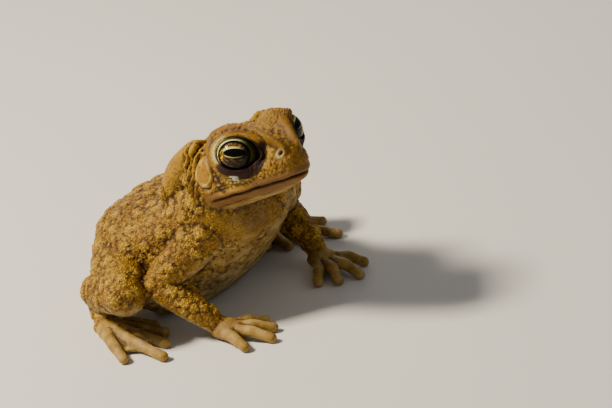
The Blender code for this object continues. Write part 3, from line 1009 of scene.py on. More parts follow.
class Sheet:
    """Lays out the nodes of one tree."""

    def __init__(self, tree: NodeTree) -> None:
        """Starts on a tree."""
        self.tree = tree

    def add(self, kind: str, **settings: object) -> Node:
        """A node of this kind with these settings."""
        found = self.tree.nodes.new(kind)
        for name, value in settings.items():
            setattr(found, name, value)
        return found

    def feed(self, socket: NodeSocket, value: Given) -> None:
        """Links a socket, or sets it where the value is plain."""
        if isinstance(value, NodeSocket):
            self.tree.links.new(value, socket)
        elif socket.type == "RGBA":
            socket.default_value = (*value, 1)
        else:
            socket.default_value = value

    def feed_all(self, node: Node, **values: Given) -> None:
        """Feeds a node's inputs by their names, with an underscore for a space."""
        for name, value in values.items():
            self.feed(node.inputs[name.replace("_", " ")], value)

    def math(self, operation: str, first: Given, second: Given = 0.0) -> NodeSocket:
        """A sum, product or the like of two numbers."""
        node = self.add("ShaderNodeMath", operation=operation)
        self.feed(node.inputs[0], first)
        self.feed(node.inputs[1], second)
        return node.outputs[0]

    def times(self, first: Given, *others: Given) -> NodeSocket:
        """The product of several numbers."""
        for other in others:
            first = self.math("MULTIPLY", first, other)
        return first

    def mix(self, share: Given, first: Given, second: Given) -> NodeSocket:
        """One colour over another by a share."""
        node = self.add("ShaderNodeMix", data_type="RGBA", clamp_factor=True)
        self.feed(node.inputs[0], share)
        self.feed(node.inputs[6], first)
        self.feed(node.inputs[7], second)
        return node.outputs[2]

    def span(self, value: Given, low: float, high: float, start: float = 0.0, end: float = 1.0) -> NodeSocket:
        """The value taken smoothly from one range to another.

        Args:
            value: The value.
            low: Where its range begins.
            high: Where its range ends.
            start: What the beginning becomes.
            end: What the end becomes.

        Returns:
            The new value.
        """
        node = self.add("ShaderNodeMapRange", interpolation_type="SMOOTHSTEP")
        for socket, given in zip(node.inputs, (value, low, high, start, end)):
            self.feed(socket, given)
        return node.outputs[0]

    def noise(
        self, place: Given, scale: Given, detail: float = 3.0, rough: float = 0.55, bend: float = 0.0
    ) -> NodeSocket:
        """Soft clouds.

        Args:
            place: Where a point is.
            scale: How many clouds to each unit of the place.
            detail: How many finer layers lie in them.
            rough: How strong the finer layers are.
            bend: How much they are bent.

        Returns:
            The clouds, from nothing to one.
        """
        node = self.add("ShaderNodeTexNoise", noise_dimensions="3D")
        self.feed_all(node, Vector=place, Scale=scale, Detail=detail, Roughness=rough, Distortion=bend)
        return node.outputs["Fac"]

    def cells(self, place: Given, scale: Given, smooth: float) -> NodeSocket:
        """Distance from the middles of scattered cells."""
        node = self.add("ShaderNodeTexVoronoi", voronoi_dimensions="3D", feature="SMOOTH_F1")
        self.feed_all(node, Vector=place, Scale=scale, Smoothness=smooth)
        return node.outputs["Distance"]

    def swirled(self, place: Given, scale: float, push: float) -> NodeSocket:
        """The place, pushed about by clouds.

        Args:
            place: Where a point is.
            scale: How many clouds to each unit of the place.
            push: How far it is pushed at most.

        Returns:
            The new place.
        """
        clouds = self.add("ShaderNodeTexNoise", noise_dimensions="3D")
        self.feed_all(clouds, Vector=place, Scale=scale)
        pushed = self.add("ShaderNodeVectorMath", operation="MULTIPLY_ADD")
        for socket, given in zip(pushed.inputs, (clouds.outputs["Color"], (push,) * 3, place)):
            self.feed(socket, given)
        return pushed.outputs[0]

    def region(self, region: Region) -> NodeSocket:
        """A painted region's number."""
        node = self.add("ShaderNodeAttribute", attribute_type="GEOMETRY", attribute_name=region.value)
        return node.outputs["Fac"]

    def millimetres(self) -> NodeSocket:
        """Object coordinates in millimetres."""
        node = self.add("ShaderNodeMapping", vector_type="POINT")
        place = self.add("ShaderNodeTexCoord").outputs["Object"]
        self.feed_all(node, Vector=place, Scale=(MM_PER_METRE,) * 3)
        return node.outputs["Vector"]

    def relief(self, shader: Node, height: NodeSocket, strength: float, distance: float) -> None:
        """Shades the surface as if it stood up by a height.

        Args:
            shader: The material's shader.
            height: The height at each point.
            strength: How strong the shading is.
            distance: How far a height of one stands up, in metres.
        """
        node = self.add("ShaderNodeBump")
        self.feed_all(node, Strength=strength, Distance=distance, Height=height)
        self.feed(shader.inputs["Normal"], node.outputs["Normal"])


def blank_material(name: str) -> tuple[Material, Sheet, Node]:
    """A material with only a Principled shader in it."""
    found = bpy.data.materials.new(name)
    found.use_nodes = True
    return found, Sheet(found.node_tree), found.node_tree.nodes["Principled BSDF"]


def mottle_group() -> NodeTree:
    """A shared effect: soft blotches and fine specks over a surface.

    Returns:
        A node group with inputs Place, Blotch Size and Speck Size, and outputs Blotch and Speck.
    """
    tree = bpy.data.node_groups.new("mottle", "ShaderNodeTree")
    tree.interface.new_socket(name="Place", in_out="INPUT", socket_type="NodeSocketVector")
    for name, usual in (("Blotch Size", 6.0), ("Speck Size", 0.5)):
        socket = tree.interface.new_socket(name=name, in_out="INPUT", socket_type="NodeSocketFloat")
        socket.default_value = usual
    for name in ("Blotch", "Speck"):
        tree.interface.new_socket(name=name, in_out="OUTPUT", socket_type="NodeSocketFloat")
    sheet = Sheet(tree)
    given, result = sheet.add("NodeGroupInput"), sheet.add("NodeGroupOutput")
    for name, detail in (("Blotch", 4.0), ("Speck", 2.0)):
        scale = sheet.math("DIVIDE", 1.0, given.outputs[name + " Size"])
        clouds = sheet.noise(given.outputs["Place"], scale, detail, 0.6, 0.4)
        sheet.feed(result.inputs[name], sheet.span(clouds, 0.36, 0.64))
    return tree


@dataclass(frozen=True)
class SkinFinish:
    """The toad's dry golden-brown skin, with a colour for each of its parts."""

    gold: Colour = (0.50, 0.275, 0.011)
    tan: Colour = (0.33, 0.160, 0.008)
    umber: Colour = (0.085, 0.038, 0.007)
    # also painted along the upper lid's edge as a highlight
    wart: Colour = (0.66, 0.410, 0.040)
    # painted shade for creases and the slit of the mouth
    hollow: Colour = (0.035, 0.014, 0.004)
    crest: Colour = (0.130, 0.052, 0.005)
    lip: Colour = (0.21, 0.100, 0.026)
    lid: Colour = (0.17, 0.072, 0.006)
    # the lower lid's purple-brown darkened to painted shade, also painted into the dip ahead of the eye as
    # shade
    membrane: Colour = (0.030, 0.011, 0.005)
    drum: Colour = (0.34, 0.165, 0.010)
    rim: Colour = (0.70, 0.500, 0.110)
    nostril: Colour = (0.52, 0.38, 0.17)
    pale: Colour = (0.42, 0.31, 0.125)
    pale_shade: Colour = (0.22, 0.145, 0.050)
    # nearly black: the cheek's dark patch, and painted shade in the nostrils, the groove over the eye and the
    # lid's crease
    scorch: Colour = (0.045, 0.018, 0.010)
    # white for a painted highlight under the eye, also tinting the lid's pale rear margin a little
    fleck: Colour = (0.82, 0.76, 0.62)
    blotched_part: float = 0.62
    blotch_size: float = 7.0
    speck_size: float = 0.55
    roughness: Pair = (0.56, 0.66)
    sheen: float = 0.22
    relief_strength: float = 0.75
    relief_height: float = 0.00024

    def material(self, mottle: NodeTree) -> Material:
        """The skin's material.

        Args:
            mottle: The shared effect for blotches and specks.

        Returns:
            The material.
        """
        found, sheet, shader = blank_material("toad_skin")
        place = sheet.millimetres()
        patches = sheet.add("ShaderNodeGroup", node_tree=mottle)
        sheet.feed_all(patches, Place=place, Blotch_Size=self.blotch_size, Speck_Size=self.speck_size)
        blotch, speck = patches.outputs["Blotch"], patches.outputs["Speck"]
        pebbles = sheet.cells(sheet.swirled(place, 0.9, 0.6), 1.9, 0.25)
        pebbles = sheet.span(pebbles, 0.05, 0.66, 1.0, 0.0)
        colour = self.ground(sheet, place, blotch, speck, pebbles)
        for region in (
            Region.CREST,
            Region.LIP,
            Region.LID,
            Region.DRUM,
            Region.RIM,
            Region.NOSTRIL,
            Region.MEMBRANE,
        ):
            own = getattr(self, region.value)
            dark = tuple(self.blotched_part * part for part in own)
            tint = sheet.mix(sheet.times(blotch, 0.5), own, dark)
            colour = sheet.mix(sheet.region(region), colour, tint)
        # laid over last: a dark patch with painted shade, a painted white highlight, and painted shade in
        # creases
        for region in (Region.SCORCH, Region.FLECK, Region.HOLLOW):
            colour = sheet.mix(sheet.region(region), colour, getattr(self, region.value))
        wet = sheet.math("MAXIMUM", sheet.region(Region.MEMBRANE), sheet.region(Region.DRUM))
        rough = sheet.span(wet, 0, 1, *self.roughness)
        sheet.feed_all(shader, Base_Color=colour, Roughness=rough, Specular_IOR_Level=self.sheen)
        pebbles = sheet.times(pebbles, sheet.span(sheet.region(Region.GRAIN), 0, 1, 0.12, 1.0))
        height = sheet.math("ADD", pebbles, sheet.times(sheet.noise(place, 5.0, 3.0, 0.6), 0.35))
        sheet.relief(shader, height, self.relief_strength, self.relief_height)
        return found

    def ground(
        self, sheet: Sheet, place: NodeSocket, blotch: NodeSocket, speck: NodeSocket, pebbles: NodeSocket
    ) -> NodeSocket:
        """The skin's colour before its parts are laid over it.

        Args:
            sheet: The material's sheet.
            place: Where a point is, in millimetres.
            blotch: The soft blotches.
            speck: The fine specks.
            pebbles: Pebbles too small for the mesh, one at their tops and nothing between them.

        Returns:
            The colour.
        """
        colour = sheet.mix(blotch, self.tan, self.gold)
        clouds = sheet.span(sheet.noise(place, 0.09, 3.0), 0.56, 0.7)
        colour = sheet.mix(sheet.times(clouds, 0.45), colour, self.umber)
        colour = sheet.mix(sheet.times(speck, 0.32), colour, self.umber)
        # wart tops, and the painted highlight along the upper lid's edge
        tops = sheet.times(sheet.region(Region.WART), sheet.span(speck, 0, 1, 0.95, 0.55))
        colour = sheet.mix(tops, colour, self.wart)
        # painted shade in the gaps between the fine pebbles
        grain = sheet.times(sheet.region(Region.GRAIN), 0.6)
        colour = sheet.mix(sheet.times(sheet.span(pebbles, 0.45, 0.1), grain), colour, self.umber)
        pale_clouds = sheet.span(sheet.noise(place, 0.35, 4.0), 0.4, 0.62)
        under = sheet.mix(pale_clouds, self.pale_shade, self.pale)
        return sheet.mix(sheet.region(Region.PALE), colour, under)


@dataclass(frozen=True)
class EyeFinish:
    """The wet eye: a dark iris flecked with gold round a pupil that lies flat."""

    black: Colour = (0.003, 0.003, 0.0025)
    bronze: Colour = (0.012, 0.008, 0.003)
    brown: Colour = (0.115, 0.065, 0.022)
    gold: Colour = (0.80, 0.42, 0.012)
    ember: Colour = (0.36, 0.15, 0.05)
    # the pupil's golden rim, also laid as a painted reflection in the broad band above the pupil
    rim: Colour = (0.72, 0.74, 0.22)
    # pale ring round the iris, made this bright as painted light
    ring: Colour = (0.95, 0.98, 0.48)
    # the ring in painted shade ahead of the eye
    shaded_ring: Colour = (0.080, 0.080, 0.010)
    # the lid's dark brown below the iris, and painted shade ahead of it
    rest: Colour = (0.030, 0.013, 0.007)
    pupil: Oval = (0.3, 0.5, 2.3, 0.86)
    pupil_power: float = 1.75
    iris: Oval = (0.0, 0.0, 3.32, 2.88)
    coat_roughness: float = 0.03
    coat_index: float = 1.24
    relief_strength: float = 0.4
    relief_height: float = 0.0001

    def material(self) -> Material:
        """The eye's material, which reads the place on the eye from the mesh."""
        found, sheet, shader = blank_material("toad_eye")
        look = sheet.add("ShaderNodeAttribute", attribute_type="GEOMETRY", attribute_name="look")
        look = look.outputs["Vector"]
        parts = sheet.add("ShaderNodeSeparateXYZ")
        sheet.feed(parts.inputs[0], look)
        ahead, up = parts.outputs[0], parts.outputs[1]
        iris = self.oval(sheet, ahead, up, self.iris, 2.0)
        streaks = sheet.span(sheet.noise(look, 0.95, 4.0, 0.65, 1.6), 0.47, 0.6)
        flecks = sheet.span(sheet.noise(look, 1.7, 3.0, 0.65, 1.0), 0.48, 0.58)
        colour = self.flecked(sheet, ahead, up, streaks, flecks)
        colour = self.pupil_over(sheet, ahead, up, colour)
        colour = sheet.mix(sheet.span(iris, 0.84, 0.91), colour, self.black)
        colour = sheet.mix(sheet.span(iris, 1.02, 1.08), colour, self.surround(sheet, ahead, up, iris))
        rough = sheet.span(streaks, 0, 1, 0.42, 0.3)
        sheet.feed_all(shader, Base_Color=colour, Roughness=rough, Specular_IOR_Level=0.0, Coat_Weight=1.0)
        sheet.feed_all(shader, Coat_Roughness=self.coat_roughness, Coat_IOR=self.coat_index)
        sheet.relief(shader, streaks, self.relief_strength, self.relief_height)
        return found

    def oval(self, sheet: Sheet, ahead: NodeSocket, up: NodeSocket, shape: Oval, power: float) -> NodeSocket:
        """How far out of an oval the place is.

        Args:
            sheet: The material's sheet.
            ahead: How far forwards the place is.
            up: How far up it is.
            shape: The oval.
            power: Two for an ellipse, less for pointed ends.

        Returns:
            The share, where one is the oval's edge.
        """
        total = 0.0
        for value, middle, half in ((ahead, shape[0], shape[2]), (up, shape[1], shape[3])):
            share = sheet.math("ABSOLUTE", sheet.math("DIVIDE", sheet.math("SUBTRACT", value, middle), half))
            total = sheet.math("ADD", total, sheet.math("POWER", share, power))
        return sheet.math("POWER", total, 1 / power)

    def flecked(
        self, sheet: Sheet, ahead: NodeSocket, up: NodeSocket, streaks: NodeSocket, flecks: NodeSocket
    ) -> NodeSocket:
        """The iris: bronze, with brown streaks, ember flecks above and golden ones behind, and painted shade
        darkening its front.

        Args:
            sheet: The material's sheet.
            ahead: How far forwards the place is.
            up: How far up it is.
            streaks: Where the streaks are.
            flecks: Where the flecks are.

        Returns:
            The colour.
        """
        colour = sheet.mix(streaks, self.bronze, self.brown)
        above = sheet.times(flecks, sheet.span(up, 0.7, 1.5))
        colour = sheet.mix(above, colour, self.ember)
        behind = sheet.times(
            sheet.span(flecks, 0.0, 0.6), sheet.span(ahead, -1.9, -2.5), sheet.span(up, -1.9, -1.2)
        )
        colour = sheet.mix(behind, colour, self.gold)
        # painted shade darkening the front of the iris to black
        return sheet.mix(sheet.times(sheet.span(ahead, 1.7, 3.0), 0.8), colour, self.black)

    def pupil_over(self, sheet: Sheet, ahead: NodeSocket, up: NodeSocket, colour: NodeSocket) -> NodeSocket:
        """The pupil laid over the iris, with its bright rim: a band above that is broad behind and fades
        forwards, partly a painted reflection, and thin below.

        Args:
            sheet: The material's sheet.
            ahead: How far forwards the place is.
            up: How far up it is.
            colour: The iris's colour.

        Returns:
            The colour.
        """
        pupil = self.oval(sheet, ahead, up, self.pupil, self.pupil_power)
        # the golden rim above the pupil, widened behind as a painted reflection
        rim_and_reflection = sheet.times(
            sheet.span(pupil, 1.0, 1.1),
            sheet.span(pupil, 1.6, 1.22),
            sheet.span(up, 0.45, 1.0),
            sheet.span(ahead, 2.3, 0.3),
            sheet.span(ahead, -2.5, -1.9),
        )
        thin = sheet.times(
            sheet.span(pupil, 1.06, 1.14),
            sheet.span(pupil, 1.36, 1.24),
            sheet.span(up, 0.3, -0.1),
            sheet.span(ahead, -2.2, -1.4),
            sheet.span(ahead, 2.4, 0.8, 0.0, 0.5),
        )
        colour = sheet.mix(thin, sheet.mix(rim_and_reflection, colour, self.rim), self.rim)
        return sheet.mix(sheet.span(pupil, 1.05, 0.98), colour, self.black)

    def surround(self, sheet: Sheet, ahead: NodeSocket, up: NodeSocket, iris: NodeSocket) -> NodeSocket:
        """The eye outside the iris: a pale ring, painted lit behind and above and painted in shade forwards,
        with painted shade ahead of the iris and the lid's dark brown below.

        Args:
            sheet: The material's sheet.
            ahead: How far forwards the place is.
            up: How far up it is.
            iris: How far out of the iris the place is.

        Returns:
            The colour.
        """
        # the ring painted lit behind and in shade forwards
        around = sheet.mix(sheet.span(ahead, -1.8, 3.0), self.ring, self.shaded_ring)
        # painted shade ahead of the iris
        outside = sheet.times(sheet.span(iris, 1.22, 1.42), sheet.span(ahead, -1.0, 1.5))
        return sheet.mix(sheet.math("MAXIMUM", sheet.span(up, -0.9, -2.1), outside), around, self.rest)


@dataclass(frozen=True)
class FloorFinish:
    """A plain pale studio floor."""

    colour: Colour = (0.74, 0.72, 0.68)
    shade_part: float = 0.95
    roughness: float = 0.85

    def material(self) -> Material:
        """The floor's material, faintly clouded."""
        found, sheet, shader = blank_material("pale_floor")
        shade = tuple(self.shade_part * part for part in self.colour)
        clouds = sheet.noise(sheet.add("ShaderNodeTexCoord").outputs["Object"], 14.0, 3.0)
        colour = sheet.mix(clouds, self.colour, shade)
        sheet.feed_all(shader, Base_Color=colour, Roughness=self.roughness)
        return found


# Pieces


@dataclass
class SkinGrain:
    """The Geometry Nodes rule that raises the skin's close-set granules.

    Args:
        cell: Millimetres from one granule to the next.
        height: How far one stands up.
        fine_cell: The same for the granules between them.
        fine_height: And their height.
        seed: Which pattern.
    """

    cell: float = 1.05
    height: float = 0.17
    fine_cell: float = 0.55
    fine_height: float = 0.08
    seed: float = 4.0

    def tree(self) -> NodeTree:
        """The node tree, with a named input for each size."""
        tree = bpy.data.node_groups.new("skin_grain", "GeometryNodeTree")
        tree.is_modifier = True
        tree.interface.new_socket(name="Skin", in_out="INPUT", socket_type="NodeSocketGeometry")
        for name in ("Cell", "Height", "Fine Cell", "Fine Height", "Seed"):
            tree.interface.new_socket(name=name, in_out="INPUT", socket_type="NodeSocketFloat")
        tree.interface.new_socket(name="Finish", in_out="INPUT", socket_type="NodeSocketMaterial")
        tree.interface.new_socket(name="Skin", in_out="OUTPUT", socket_type="NodeSocketGeometry")
        sheet = Sheet(tree)
        given, result = sheet.add("NodeGroupInput"), sheet.add("NodeGroupOutput")
        mask = sheet.add("GeometryNodeInputNamedAttribute", data_type="FLOAT")
        mask.inputs["Name"].default_value = Region.GRAIN.value
        shifted = sheet.add("ShaderNodeVectorMath", operation="ADD")
        sheet.feed(shifted.inputs[0], sheet.add("GeometryNodeInputPosition").outputs[0])
        sheet.feed(shifted.inputs[1], given.outputs["Seed"])
        bent = sheet.swirled(shifted.outputs[0], 0.7, 1.1)
        rises = []
        for kind in ("", "Fine "):
            scale = sheet.math("DIVIDE", 1.0, given.outputs[kind + "Cell"])
            dome = sheet.span(sheet.cells(bent, scale, 0.35), 0.08, 0.66, 1.0, 0.0)
            rises.append(sheet.times(dome, given.outputs[kind + "Height"]))
        patches = sheet.span(sheet.noise(shifted.outputs[0], 0.16, 2.0), 0.38, 0.62, 0.55, 1.15)
        total = sheet.times(sheet.math("ADD", *rises), patches, mask.outputs[0])
        offset = sheet.add("ShaderNodeVectorMath", operation="SCALE")
        sheet.feed(offset.inputs[0], sheet.add("GeometryNodeInputNormal").outputs[0])
        sheet.feed(offset.inputs["Scale"], total)
        moved = sheet.add("GeometryNodeSetPosition")
        sheet.feed_all(moved, Geometry=given.outputs["Skin"], Offset=offset.outputs[0])
        real = sheet.add("GeometryNodeRealizeInstances")
        sheet.feed(real.inputs[0], moved.outputs[0])
        dressed = sheet.add("GeometryNodeSetMaterial")
        sheet.feed_all(dressed, Geometry=real.outputs[0], Material=given.outputs["Finish"])
        sheet.feed(result.inputs[0], dressed.outputs[0])
        return tree

    def grown(self, mesh: Mesh, finish: Material) -> Mesh:
        """The skin with its granules, as a plain mesh.

        Args:
            mesh: The skin, in millimetres, with its grain painted.
            finish: The material that the granules take.

        Returns:
            The new mesh.
        """
        obj = new_object("grain", mesh)
        rule = obj.modifiers.new("grain", "NODES")
        rule.node_group = self.tree()
        values = {
            "Cell": self.cell,
            "Height": self.height,
            "Fine Cell": self.fine_cell,
            "Fine Height": self.fine_height,
            "Seed": self.seed,
            "Finish": finish,
        }
        for item in rule.node_group.interface.items_tree:
            if item.item_type == "SOCKET" and item.in_out == "INPUT" and item.name in values:
                rule[item.identifier] = values[item.name]
        return applied(obj)


@dataclass
class ToadSkin:
    """The whole skin, without a seam, in place of every node but the eyes."""

    head_frame: HeadFrame
    head: HeadForm
    eyes: EyeForm
    torso: TorsoForm
    limbs: LimbForm
    grain: SkinGrain
    voxel: float = 0.28
    triangles: int = 190000
    back_warts: WartSizes = WartSizes(1.1, 2.3, 0.36, 4.6, 11)
    small_warts: WartSizes = WartSizes(0.4, 1.05, 0.38, 1.6, 12)
    face_warts: WartSizes = WartSizes(0.24, 0.55, 0.48, 0.78, 13)
    pores: WartSizes = WartSizes(0.2, 0.32, -0.38, 1.0, 14)
    wart_skirt: float = 1.25

    def survey(self, mesh: Mesh) -> Survey:
        """Where the mesh's points lie among the skin's features."""
        return Survey(mesh, self.head_frame, self.head, self.eyes, self.limbs)

    def blank(self) -> Mesh:
        """All forms fused, with the creases between them softened."""
        head = [self.head.skull()]
        for side in Side:
            forms = [*self.head.side_forms(side), self.eyes.swelling()]
            head += [mirrored(form) for form in forms] if side is Side.LEFT else forms
        rolls = self.eyes.both_rolls()
        for form in (*head, *rolls):
            form.transform(self.head_frame.matrix())
        trunk = fused(joined([*head, self.torso.form()]), self.voxel)
        relaxed(trunk, 1.0, 22)
        at = self.survey(trunk)
        relaxed(trunk, step_down(at.crests, 2.4, 3.4), 26)
        relaxed(trunk, step_down(line_distance(at.paired, self.head.gland), 3.6, 5.0), 30)
        for side in Side:
            limbs = fused(joined(self.limbs.bones(side)), self.voxel)
            relaxed(limbs, 1.0, 10)
            trunk = joined([trunk, limbs, *self.limbs.ends(side)])
        whole = fused(joined([trunk, *rolls]), self.voxel)
        relaxed(whole, 1.0, 5)
        return whole

    def socketed(self, mesh: Mesh) -> Mesh:
        """The skin with both eye openings cut and their edges rounded.

        Args:
            mesh: The blank skin.

        Returns:
            The new skin.
        """
        for tool in self.eyes.cutters():
            tool.transform(self.head_frame.matrix())
            mesh = combined(mesh, tool, Cut.TAKE)
        mesh = fused(mesh, self.voxel)
        at = self.survey(mesh)
        relaxed(mesh, bump(np.maximum(at.reach - 5.5, 0), 1.0), 3)
        edge = band(at.opening, 0.95, 1.5, 0.15) * step_up(at.eye[:, 1], 1.5, 2.5) * (at.reach < 7)
        relaxed(mesh, edge * step_up(at.reach, 4.7, 5.2), 12)
        front = step_up(at.eye[:, 0] - 0.8 * at.eye[:, 1], 0.0, 2.5)
        relaxed(mesh, front * bump(np.maximum(at.reach - 6.2, 0), 0.8), 6)
        return mesh

    def with_fine_features(self, mesh: Mesh) -> Mesh:
        """The skin with smaller faces round mouth, nostrils, lids and eardrums, and flat eardrums."""
        at = self.survey(mesh)
        mouth = (np.abs(at.above) < 1.0) & (at.paired[:, 1] < 10)
        lids = (at.reach < 6.3) & (at.eye[:, 2] > -0.5)
        fine = mouth | lids | (at.nose < 1.8) | (at.drum < 3.6)
        mesh = refined(mesh, fine & (at.paired[:, 2] > -6))
        relaxed(mesh, 0.35, 1)
        relaxed(mesh, step_down(self.survey(mesh).drum, 2.2, 3.2), 16)
        return mesh

    def shape_face(self, mesh: Mesh) -> None:
        """Cuts the mouth, raises the lips and shapes nostrils, eardrums and folds."""
        at = self.survey(mesh)
        rise = self.mouth_relief(at) + self.lid_relief(at) + self.cheek_relief(at)
        ring_rise = 0.16 * (1 + 0.5 * waves(at.points, 2.6, 17)) * ridge(at.drum, 2.3, 0.6)
        rise += ring_rise - 0.36 * ridge(at.drum, 3.1, 0.6) - 0.14 * bump(at.drum, 2.0)
        rise += 0.18 * ridge(at.nose, 0.8, 0.5) - 1.5 * bump(at.nose, 0.62)
        across = at.paired[:, 1] + 0.25 * at.paired[:, 2] + 0.35 * waves(at.points, 3.0, 6)
        rise += 0.42 * ripples(across, 1.15) * at.folds * step_up(at.drum, 3.0, 3.6)
        put(mesh, at.points + rise[:, None] * at.outward)

    def wavering_above(self, at: Survey) -> Numbers:
        """Height over a mouth line that wavers a little."""
        return at.above + 0.12 * waves(at.points, 5.0, 3)

    def mouth_relief(self, at: Survey) -> Numbers:
        """The lips, the slit between them and the creases beside them."""
        above = self.wavering_above(at)
        rise = -0.16 * ridge(above, 2.0, 0.5) * step_down(-at.paired[:, 1], 4.0, 7.0)
        for middle, half_width, height in self.head.lips:
            rise += height * ridge(above, middle, half_width)
        return rise * step_down(at.paired[:, 1], 5.5, 8.8)

    def lid_relief(self, at: Survey) -> Numbers:
        """The near lid's groove and edge, the fine creases of both and the dents ahead of them."""
        over = step_up(at.eye[:, 1], 1.2, 2.4) * (at.eye[:, 2] > -1.0) * (at.reach < 8)
        over *= at.local[:, 0] < 0
        rise = 0.2 * ridge(at.opening, 1.26, 0.16) * over
        rise -= 0.5 * ridge(at.opening, 1.56, 0.17) * over * (1 + 0.5 * waves(at.points, 1.4, 9))
        creases = ripples(at.opening + 0.03 * waves(at.points, 2.2, 10), 0.11)
        rise += 0.07 * creases * band(at.opening, 1.12, 2.1, 0.1) * (at.reach < 8) * (at.eye[:, 2] > -0.5)
        dent = bump(oval_share(at.eye, self.eyes.dent), 1.0)
        return rise - 1.3 * dent * (at.eye[:, 2] > 0) * (at.reach < 8.5)

    def cheek_relief(self, at: Survey) -> Numbers:
        """The fine ribs between nostril and eye."""
        back, up = at.paired[:, 1], at.paired[:, 2]
        cheek = band(back, -9.5, -4.6, 1.2) * band(self.wavering_above(at), 1.9, 4.6, 0.6)
        ribs = ripples(back + 0.35 * up + 0.25 * waves(at.points, 1.6, 5), 0.85)
        return 0.10 * ribs * cheek * step_up(-up, -6.4, -5.6) * (at.nose > 1.4)

    def clear_of_features(self, at: Survey) -> Numbers:
        """One where warts may grow on the head, nothing on its smooth parts.

        Args:
            at: The skin's survey.

        Returns:
            The number for each point.
        """
        back, up, out = at.paired[:, 1], at.paired[:, 2], at.eye[:, 2]
        clear = step_up(at.drum, 3.3, 3.8) * step_up(at.nose, 1.5, 2.0)
        clear *= step_up(at.above, 1.7, 2.3) + step_up(back, 8.5, 9.5)
        clear *= np.maximum(step_up(oval_share(at.eye, self.eyes.outer), 1.02, 1.18), out < 0)
        clear *= np.maximum(step_up(at.opening, 1.62, 1.72), (out < 0) | (at.eye[:, 1] < 0))
        clear *= step_up(at.crests, 1.3, 1.9)
        clear *= 1 - 0.75 * step_up(up, 6.2, 7.4) * step_down(back, 0.0, 3.0)
        return np.clip(clear * (1 - 0.85 * at.folds), 0, 1)

    def wart_weights(self, at: Survey) -> Iterator[tuple[WartSizes, Numbers]]:
        """How likely a wart of each kind is at each point.

        Args:
            at: The skin's survey.

        Yields:
            A kind of wart and its numbers.
        """
        x, y, z = at.points.T
        behind = step_up(at.paired[:, 1], 9.5, 12.5)
        limb = 1 - step_up(y, -8.0, -2.0) * step_up(15.0 - np.abs(x), 0.0, 3.0)
        plain = behind * step_up(at.gland, 3.0, 3.8) * step_up(at.digits, 2.6, 3.6) * (1 - at.folds)
        upward = at.outward[:, 2]
        high = step_up(upward, -0.25, 0.2) * step_up(z, 4.0, 7.0)
        yield self.back_warts, 0.7 * plain * high * (1 - 0.8 * limb)
        clumps = 0.1 + 0.5 * step_up(waves(at.points, 7.0, 31), -0.3, 0.4)
        yield self.small_warts, plain * step_up(upward, -0.75, -0.3) * np.maximum(
            clumps, step_down(at.gland, 6.0, 13.0)
        )
        yield self.face_warts, (1 - behind) * self.clear_of_features(at) * (at.paired[:, 2] > -1.5)
        yield self.pores, step_down(at.gland, 3.4, 3.9)

    def raise_warts(self, mesh: Mesh) -> Numbers:
        """Raises the warts of every size.

        Args:
            mesh: The skin, which is changed.

        Returns:
            How near to a wart's top each point is.
        """
        at = self.survey(mesh)
        rise, tops = np.zeros(len(at.points)), np.zeros(len(at.points))
        rough = 1 + 0.28 * waves(at.points, 1.1, 21)
        tree = search_tree(at.points)
        for sizes, weight in self.wart_weights(at):
            for place, radius in sizes.scattered(at.points, weight):
                skirt = self.wart_skirt * radius
                found = tree.find_range(Vector(place), skirt)
                index = np.fromiter((item[1] for item in found), int, len(found))
                away = np.fromiter((item[2] for item in found), float, len(found))
                away = away / skirt * rough[index]
                lift = sizes.height * radius * np.clip(1 - away**2, 0, 1) ** 0.6
                if sizes.height < 0:
                    rise[index] = np.minimum(rise[index], lift)
                    continue
                rise[index] = np.maximum(rise[index], lift)
                top = np.clip(1 - away * 1.15, 0, 1) ** 0.7 * min(1, radius / 0.9)
                tops[index] = np.maximum(tops[index], top)
        put(mesh, at.points + rise[:, None] * at.outward)
        return tops

    def paint_regions(self, mesh: Mesh, tops: Numbers) -> None:
        """Paints every region but the painted shade in the hollows.

        Args:
            mesh: The skin, which is painted.
            tops: How near to a wart's top each point is.
        """
        at = self.survey(mesh)
        gland = step_down(at.gland, 2.9, 3.7)
        crest = step_down(at.crests, 1.5, 2.2)
        cheek = step_down(line_distance(at.paired, self.head.pallor), 2.2, 3.8)
        cheek *= step_up(at.above, 0.2, 1.0) * (0.75 + 0.25 * tops)
        over_eye = at.upper_lid * at.near_eye
        # a painted highlight along the upper lid's edge, laid in the wart colour
        lit = ridge(at.opening, 1.22, 0.1) * over_eye * step_down(at.eye[:, 0], 0.5, 3.0)
        crown = np.maximum(0.35 * step_up(at.above, 3.5, 6.0), 0.4 * step_up(-at.paired[:, 1], 7.5, 10.5))
        brown = np.maximum.reduce([0.65 * crest, at.face * crown, 0.12 * gland])
        lower = (1 - at.upper_lid) * step_up(at.eye[:, 0] - 0.9 * at.eye[:, 1], -2.6, -1.2)
        # painted shade in the dip ahead of the eye, in the lower lid's dark colour
        dent = step_down(oval_share(at.eye, self.eyes.dent), 0.75, 1.0) * at.near_eye
        circle = ridge(at.drum, 2.2, 0.75) * (0.55 + 0.35 * waves(at.points, 2.2, 18))
        _, nose_back, nose_up = self.head.nostril
        behind_nose = at.paired[:, 1] - nose_back + nose_up - at.paired[:, 2]
